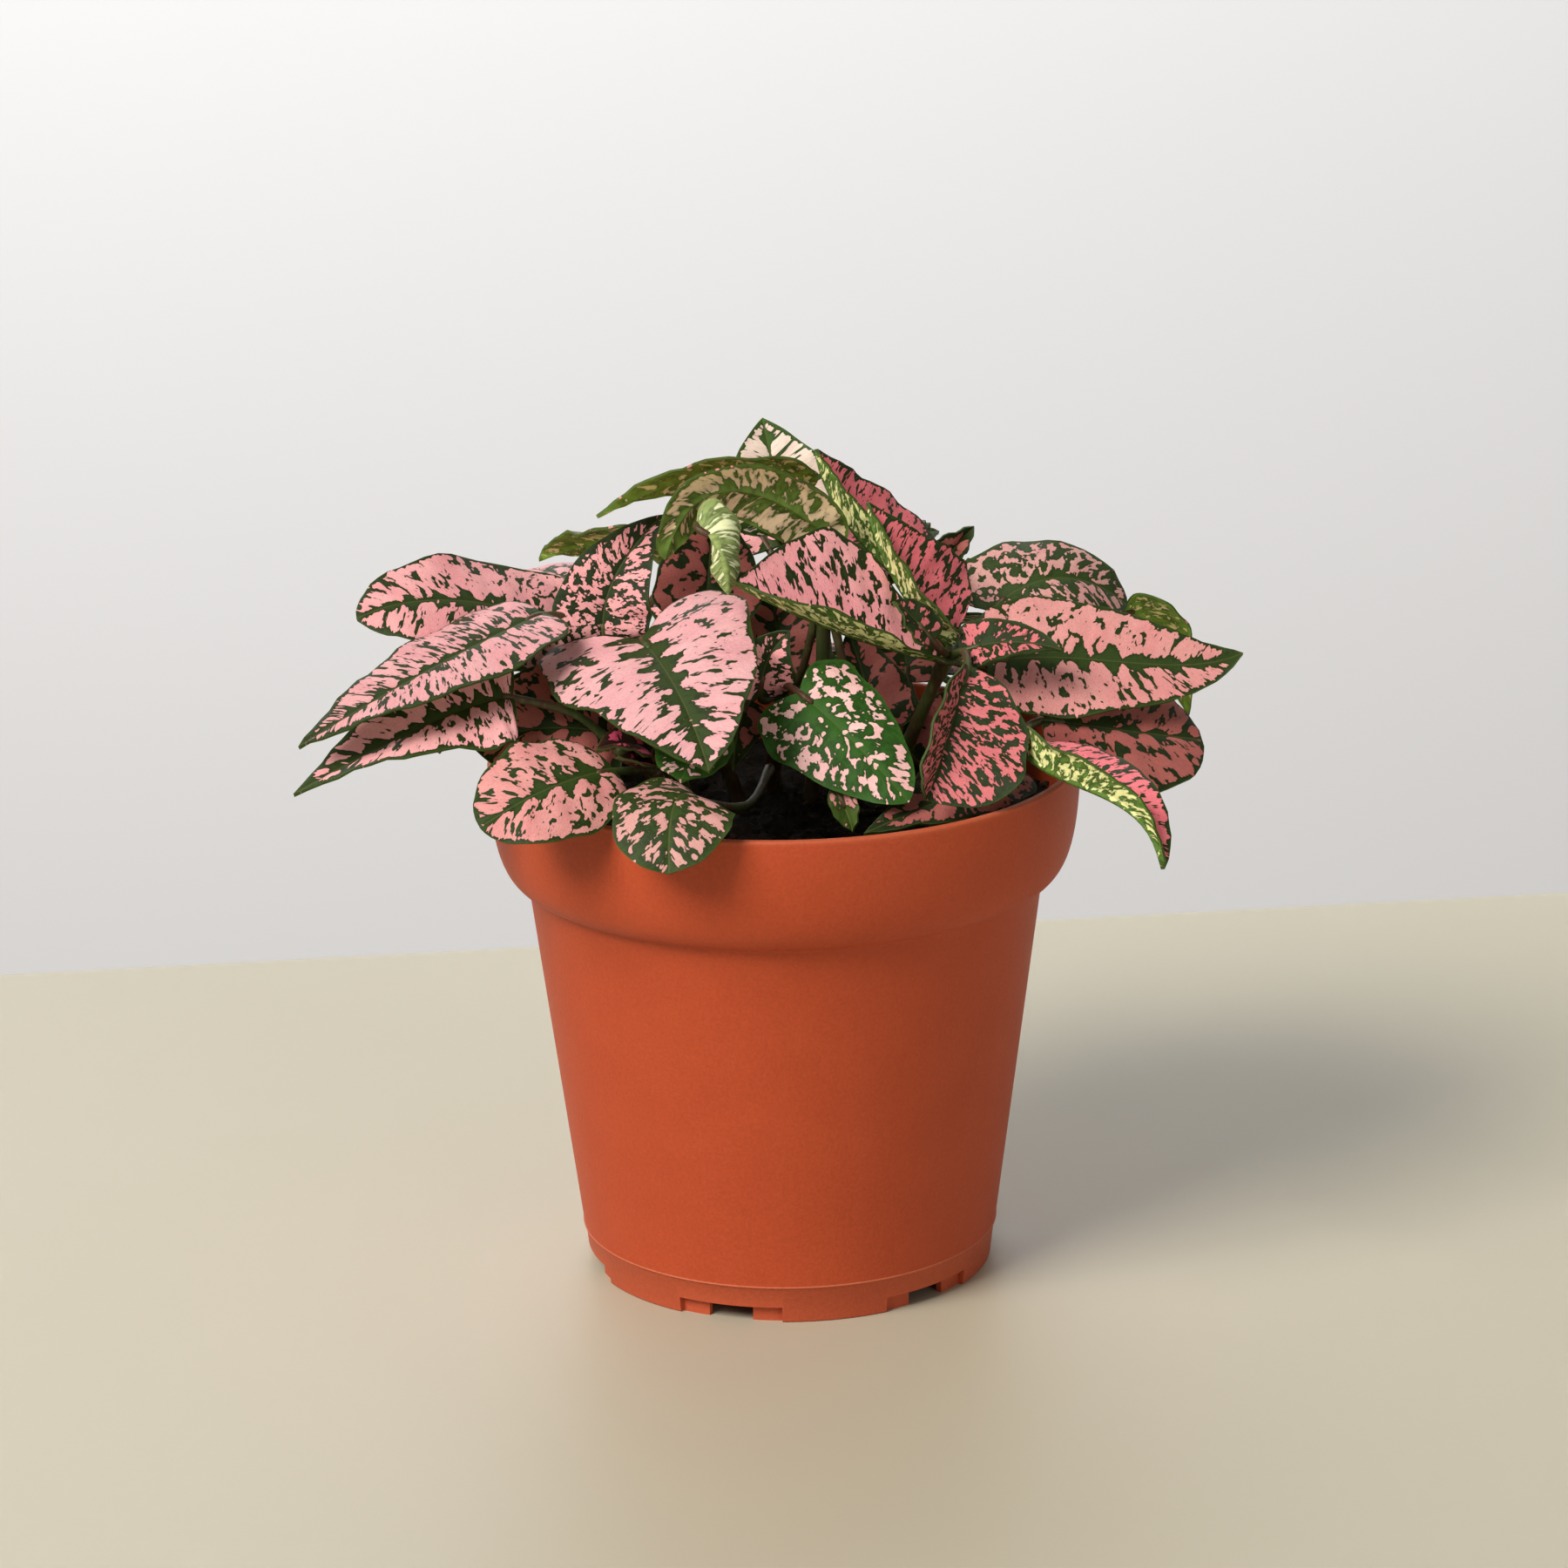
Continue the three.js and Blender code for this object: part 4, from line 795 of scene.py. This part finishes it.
def pot_profile():
    """The pot's section, from the foot up the outside, over the lip and down the inside."""
    floor_top = FLOOR_Z + FLOOR_THICK
    ring_inside = FOOT_RADIUS - FOOT_RING_THICK
    foot = arc((FOOT_RADIUS - FOOT_ROUND, FOOT_ROUND), FOOT_ROUND, -90, 0, 4)
    flash = [(FOOT_RADIUS + 0.75, FLASH_Z - 0.5), *arc((FLASH_RADIUS, FLASH_Z), FLASH_ROUND, -80, 80, 6)]
    wall = [(wall_radius(z), z) for z in (FLASH_Z + 0.5, *WALL_LEVELS, BAND_FOOT_Z - 0.8)]
    throat = [(BAND_FOOT_RADIUS - 0.25, BAND_FOOT_Z - 0.3), (BAND_FOOT_RADIUS - 0.05, BAND_FOOT_Z - 0.12)]
    band = [tuple(cubic(*axis, i / BAND_STEPS) for axis in zip(*BAND_CURVE)) for i in range(BAND_STEPS + 1)]
    lip = [
        *arc((RIM_RADIUS - LIP_ROUND, POT_HEIGHT - LIP_ROUND), LIP_ROUND, 0, 90, 6),
        *arc((RIM_RADIUS - LIP_THICK + LIP_INNER_ROUND, POT_HEIGHT - LIP_INNER_ROUND),
             LIP_INNER_ROUND, 90, 180, 5),
    ]
    inside = [(RIM_RADIUS - 1.6, 88), (51.2, 79), (wall_radius(BAND_FOOT_Z) - WALL, BAND_FOOT_Z - 1),
              (wall_radius(floor_top + 1) - WALL, floor_top + 1),
              (wall_radius(floor_top) - WALL - 1, floor_top), (0, floor_top)]
    below = [(0, FLOOR_Z), (ring_inside, FLOOR_Z), (ring_inside, 0.3), (ring_inside + 0.3, 0)]
    return [*foot, *flash, *wall, *throat, *band, *lip, *inside, *below, foot[0]]


def sector_block(bm, inner, outer, azimuth_deg, width_deg, height):
    """A block between two radii, centred on an azimuth from the front towards +X, from below the
    pot up to a height."""
    corners = [(inner, 0, -CUT_CLEAR), (outer, 0, -CUT_CLEAR), (outer, 0, height), (inner, 0, height)]
    face = bm.faces.new([bm.verts.new(c) for c in corners])
    turn = Matrix.Rotation(math.radians(azimuth_deg - 90 - width_deg / 2), 3, "Z")
    bmesh.ops.rotate(bm, verts=face.verts, cent=(0, 0, 0), matrix=turn)
    bmesh.ops.spin(bm, geom=[face, *face.edges, *face.verts], cent=(0, 0, 0), axis=(0, 0, 1),
                   steps=CUT_STEPS, angle=math.radians(width_deg))


def cut_away(piece, cutter_bm):
    """Takes a cutter's solids out of a piece."""
    bmesh.ops.recalc_face_normals(cutter_bm, faces=cutter_bm.faces)
    cutter = made_object("cutter", cutter_bm)
    boolean = piece.modifiers.new("cut", "BOOLEAN")
    boolean.operation = "DIFFERENCE"
    boolean.solver = "EXACT"
    boolean.use_self = True
    boolean.object = cutter
    made = bpy.data.meshes.new_from_object(piece.evaluated_get(bpy.context.evaluated_depsgraph_get()))
    piece.modifiers.clear()
    piece.data = made
    bpy.data.objects.remove(cutter)


def build_pot():
    """The pot, turned in one piece, with its notches, their recesses and its drain holes cut."""
    bm = bmesh.new()
    spun(bm, pot_profile())
    for face in bm.faces:
        face.smooth = True
    for edge in bm.edges:
        edge.smooth = len(edge.link_faces) == 2 and edge.calc_face_angle(0) < math.radians(CREASE_DEG)
    pot = finish_piece("nursery_pot", bm, [nursery_plastic], "pot")
    cutters = bmesh.new()
    inner = FOOT_RADIUS - FOOT_RING_THICK - 2 * CUT_CLEAR
    outer = FLASH_RADIUS + CUT_CLEAR
    for i in range(NOTCHES):
        azimuth = FIRST_NOTCH_DEG + 360 * i / NOTCHES
        sector_block(cutters, inner, outer, azimuth, NOTCH_DEG, NOTCH_HEIGHT)
        sector_block(cutters, FOOT_RADIUS - RECESS_DEPTH, outer, azimuth, RECESS_DEG, RECESS_HEIGHT)
        a = math.radians(azimuth)
        middle = Vector((DRAIN_RING * math.sin(a), -DRAIN_RING * math.cos(a), FLOOR_Z + FLOOR_THICK / 2))
        bmesh.ops.create_cone(cutters, cap_ends=True, segments=DRAIN_SIDES, radius1=DRAIN_RADIUS,
                              radius2=DRAIN_RADIUS, depth=FLOOR_THICK + 2 * CUT_CLEAR,
                              matrix=Matrix.Translation(middle))
    bmesh.ops.scale(cutters, vec=(MM, MM, MM), verts=cutters.verts)
    cut_away(pot, cutters)


# ---- building the soil ----


def soil_relief(x, y):
    """Height of the crumbly top of the soil over or under its mean level: humps about 20 mm and
    7 mm apart, roughness from 4 mm down, and grit under 1 mm."""
    humps = 0.9 * math.sin(0.31 * x + 0.6) * math.cos(0.27 * y - 0.4) + 0.6 * math.sin(0.83 * x + 0.47 * y)
    rough = 0.9 * noise.fractal(Vector((x / 4, y / 4, 0)), 0.8, 2.1, 4)
    return humps + rough + 0.5 * noise.noise(Vector((x * 1.3, y * 1.3, 5)))


def lump(bm, tint_layer, place, size, squash, turn, tint, detail):
    """A crumb of peat or a bead of moss: a small rough ball."""
    made = bmesh.ops.create_icosphere(bm, subdivisions=detail, radius=1)["verts"]
    for vert in made:
        rough = 1 + 0.35 * noise.noise(vert.co * 1.7 + place)
        x, y, z = vert.co
        vert.co = Vector((x * size, y * size * squash[0], z * size * squash[1])) * rough
        vert[tint_layer] = tint
    bmesh.ops.rotate(bm, verts=made, cent=(0, 0, 0), matrix=Matrix.Rotation(turn, 3, "Z"))
    bmesh.ops.translate(bm, verts=made, vec=place)


def build_soil():
    """The peat that fills the pot, with its rough top, loose crumbs and beads of moss."""
    bm = bmesh.new()
    tint_layer = bm.verts.layers.float_color.new("crumb_tint")
    bottom = FLOOR_Z + FLOOR_THICK + SOIL_GAP
    top = [(SOIL_EDGE * i / SOIL_RINGS, SOIL_TOP) for i in range(SOIL_RINGS + 1)]
    outside = [(SOIL_EDGE, SOIL_TOP - 2), (50.6, 80),
               (wall_radius(BAND_FOOT_Z) - WALL - 0.7, BAND_FOOT_Z - 1),
               (wall_radius(bottom) - WALL - 1.6, bottom), (0, bottom)]
    spun(bm, [*top, *outside])
    for vert in bm.verts:
        vert[tint_layer] = linear(PEAT_TINTS[0])
        if vert.co.z > SOIL_TOP - 0.5:
            slump = -SLUMP * max(0, (vert.co.xy.length - SLUMP_FROM) / SLUMP_WIDTH) ** 2
            vert.co.z += soil_relief(vert.co.x, vert.co.y) + slump
    chance = random.Random(CRUMB_SEED)
    smallest, size_range = CRUMB_SIZES
    for _ in range(CRUMBS):
        r = (SOIL_EDGE - 1.5) * math.sqrt(chance.random())
        a = chance.uniform(0, TURN)
        x, y = r * math.cos(a), r * math.sin(a)
        size = smallest + size_range * chance.random() ** 3  # most crumbs are small
        place = Vector((x, y, SOIL_TOP + soil_relief(x, y) + 0.25 * size))
        squash = (chance.uniform(0.5, 1), chance.uniform(0.45, 0.8))
        turn = chance.uniform(0, TURN)
        lump(bm, tint_layer, place, size, squash, turn, linear(chance.choice(PEAT_TINTS)), 1)
    for x, y, size in MOSS_BEADS:
        place = Vector((x, y, SOIL_TOP + soil_relief(x, y) + 0.5 * size))
        lump(bm, tint_layer, place, size, (0.9, 0.85), x, linear(MOSS_GREEN), 3)
    for face in bm.faces:
        face.smooth = True
    finish_piece("peat_filling", bm, [damp_peat], "potting_soil")


# ---- building the plant ----

build_pot()
build_soil()
leaf_chance = random.Random(LEAF_SEED)
for node, (path, leaves) in LEAFY_STEMS.items():
    leafy_stem(node, path, leaves, leaf_chance)

# ---- stage, light and camera, in metres ----

EYE = Vector((0, -0.9837, 0.3858))
PITCH_DEG = -16.71
ROLL_DEG = -0.81
LENS = 129.13
SENSOR = 36
TABLE_EDGE = ((-0.165, 0.167), (0.171, 0.2084))  # two points of the table's back edge
TABLE_REACH = 1.6
WALL_Y = 2.2
WALL_REACH, WALL_FOOT, WALL_TOP = 4, -2, 3
# Softboxes: name, place, aim, size, power and colour.
SOFTBOXES = (
    ("key", (-2.11, -1.91, 2.74), (0, 0, 0.08), 1.9, 180, "#fff6ee"),
    ("fill", (1.5, -2.0, 0.5), (0, 0, 0.1), 1.2, 9, "#fff4ea"),
    ("wall_light", (-0.7, 1.2, 1.6), (0, WALL_Y, 1.2), 1.5, 59, "#f4f8ff"),
)
AIR_COLOUR, AIR_STRENGTH = "#f2f0ea", 0.24


def stage_sheet(name, corners, colour, roughness):
    """A flat sheet of the studio, as a face between corners."""
    material, tree = new_material(name)
    shade(tree, colour, {"Roughness": roughness})
    bm = bmesh.new()
    bm.faces.new([bm.verts.new(c) for c in corners])
    made_object(name, bm, material)


def softbox(name, place, aim, size, power, colour):
    """A square area light at a place, turned to its aim."""
    light = bpy.data.lights.new(name, "AREA")
    light.size = size
    light.energy = power
    light.color = linear(colour)[:3]
    box = bpy.data.objects.new(name, light)
    box.location = place
    box.rotation_euler = (Vector(aim) - Vector(place)).to_track_quat("-Z", "Y").to_euler()
    box.visible_camera = False
    bpy.context.scene.collection.objects.link(box)


def studio():
    """A pale table with a pale wall behind it, soft light and plain air."""
    (x1, y1), (x2, y2) = TABLE_EDGE
    slope = (y2 - y1) / (x2 - x1)
    left_y = y1 + slope * (-TABLE_REACH - x1)
    right_y = y1 + slope * (TABLE_REACH - x1)
    stage_sheet("pale_table", [(-TABLE_REACH, -TABLE_REACH, 0), (TABLE_REACH, -TABLE_REACH, 0),
                               (TABLE_REACH, right_y, 0), (-TABLE_REACH, left_y, 0)], "#b8b4a0", 0.5)
    stage_sheet("studio_wall", [(-WALL_REACH, WALL_Y, WALL_FOOT), (WALL_REACH, WALL_Y, WALL_FOOT),
                                (WALL_REACH, WALL_Y, WALL_TOP), (-WALL_REACH, WALL_Y, WALL_TOP)],
                "#e6e6e6", 0.9)
    for box in SOFTBOXES:
        softbox(*box)
    world = bpy.data.worlds.new("studio_air")
    bpy.context.scene.world = world
    world.use_nodes = True
    air = world.node_tree.nodes["Background"].inputs
    air["Color"].default_value = linear(AIR_COLOUR)
    air["Strength"].default_value = AIR_STRENGTH
    view = bpy.context.scene.view_settings
    view.view_transform = "Standard"
    view.look = "None"


def camera():
    """The camera, in front and a little above."""
    lens = bpy.data.cameras.new("camera")
    lens.lens = LENS
    lens.sensor_width = SENSOR
    eye = bpy.data.objects.new("camera", lens)
    pitch = Matrix.Rotation(math.radians(90 + PITCH_DEG), 4, "X")
    roll = Matrix.Rotation(math.radians(ROLL_DEG), 4, "Z")
    eye.matrix_world = Matrix.Translation(EYE) @ pitch @ roll
    bpy.context.scene.collection.objects.link(eye)
    bpy.context.scene.camera = eye


studio()
camera()
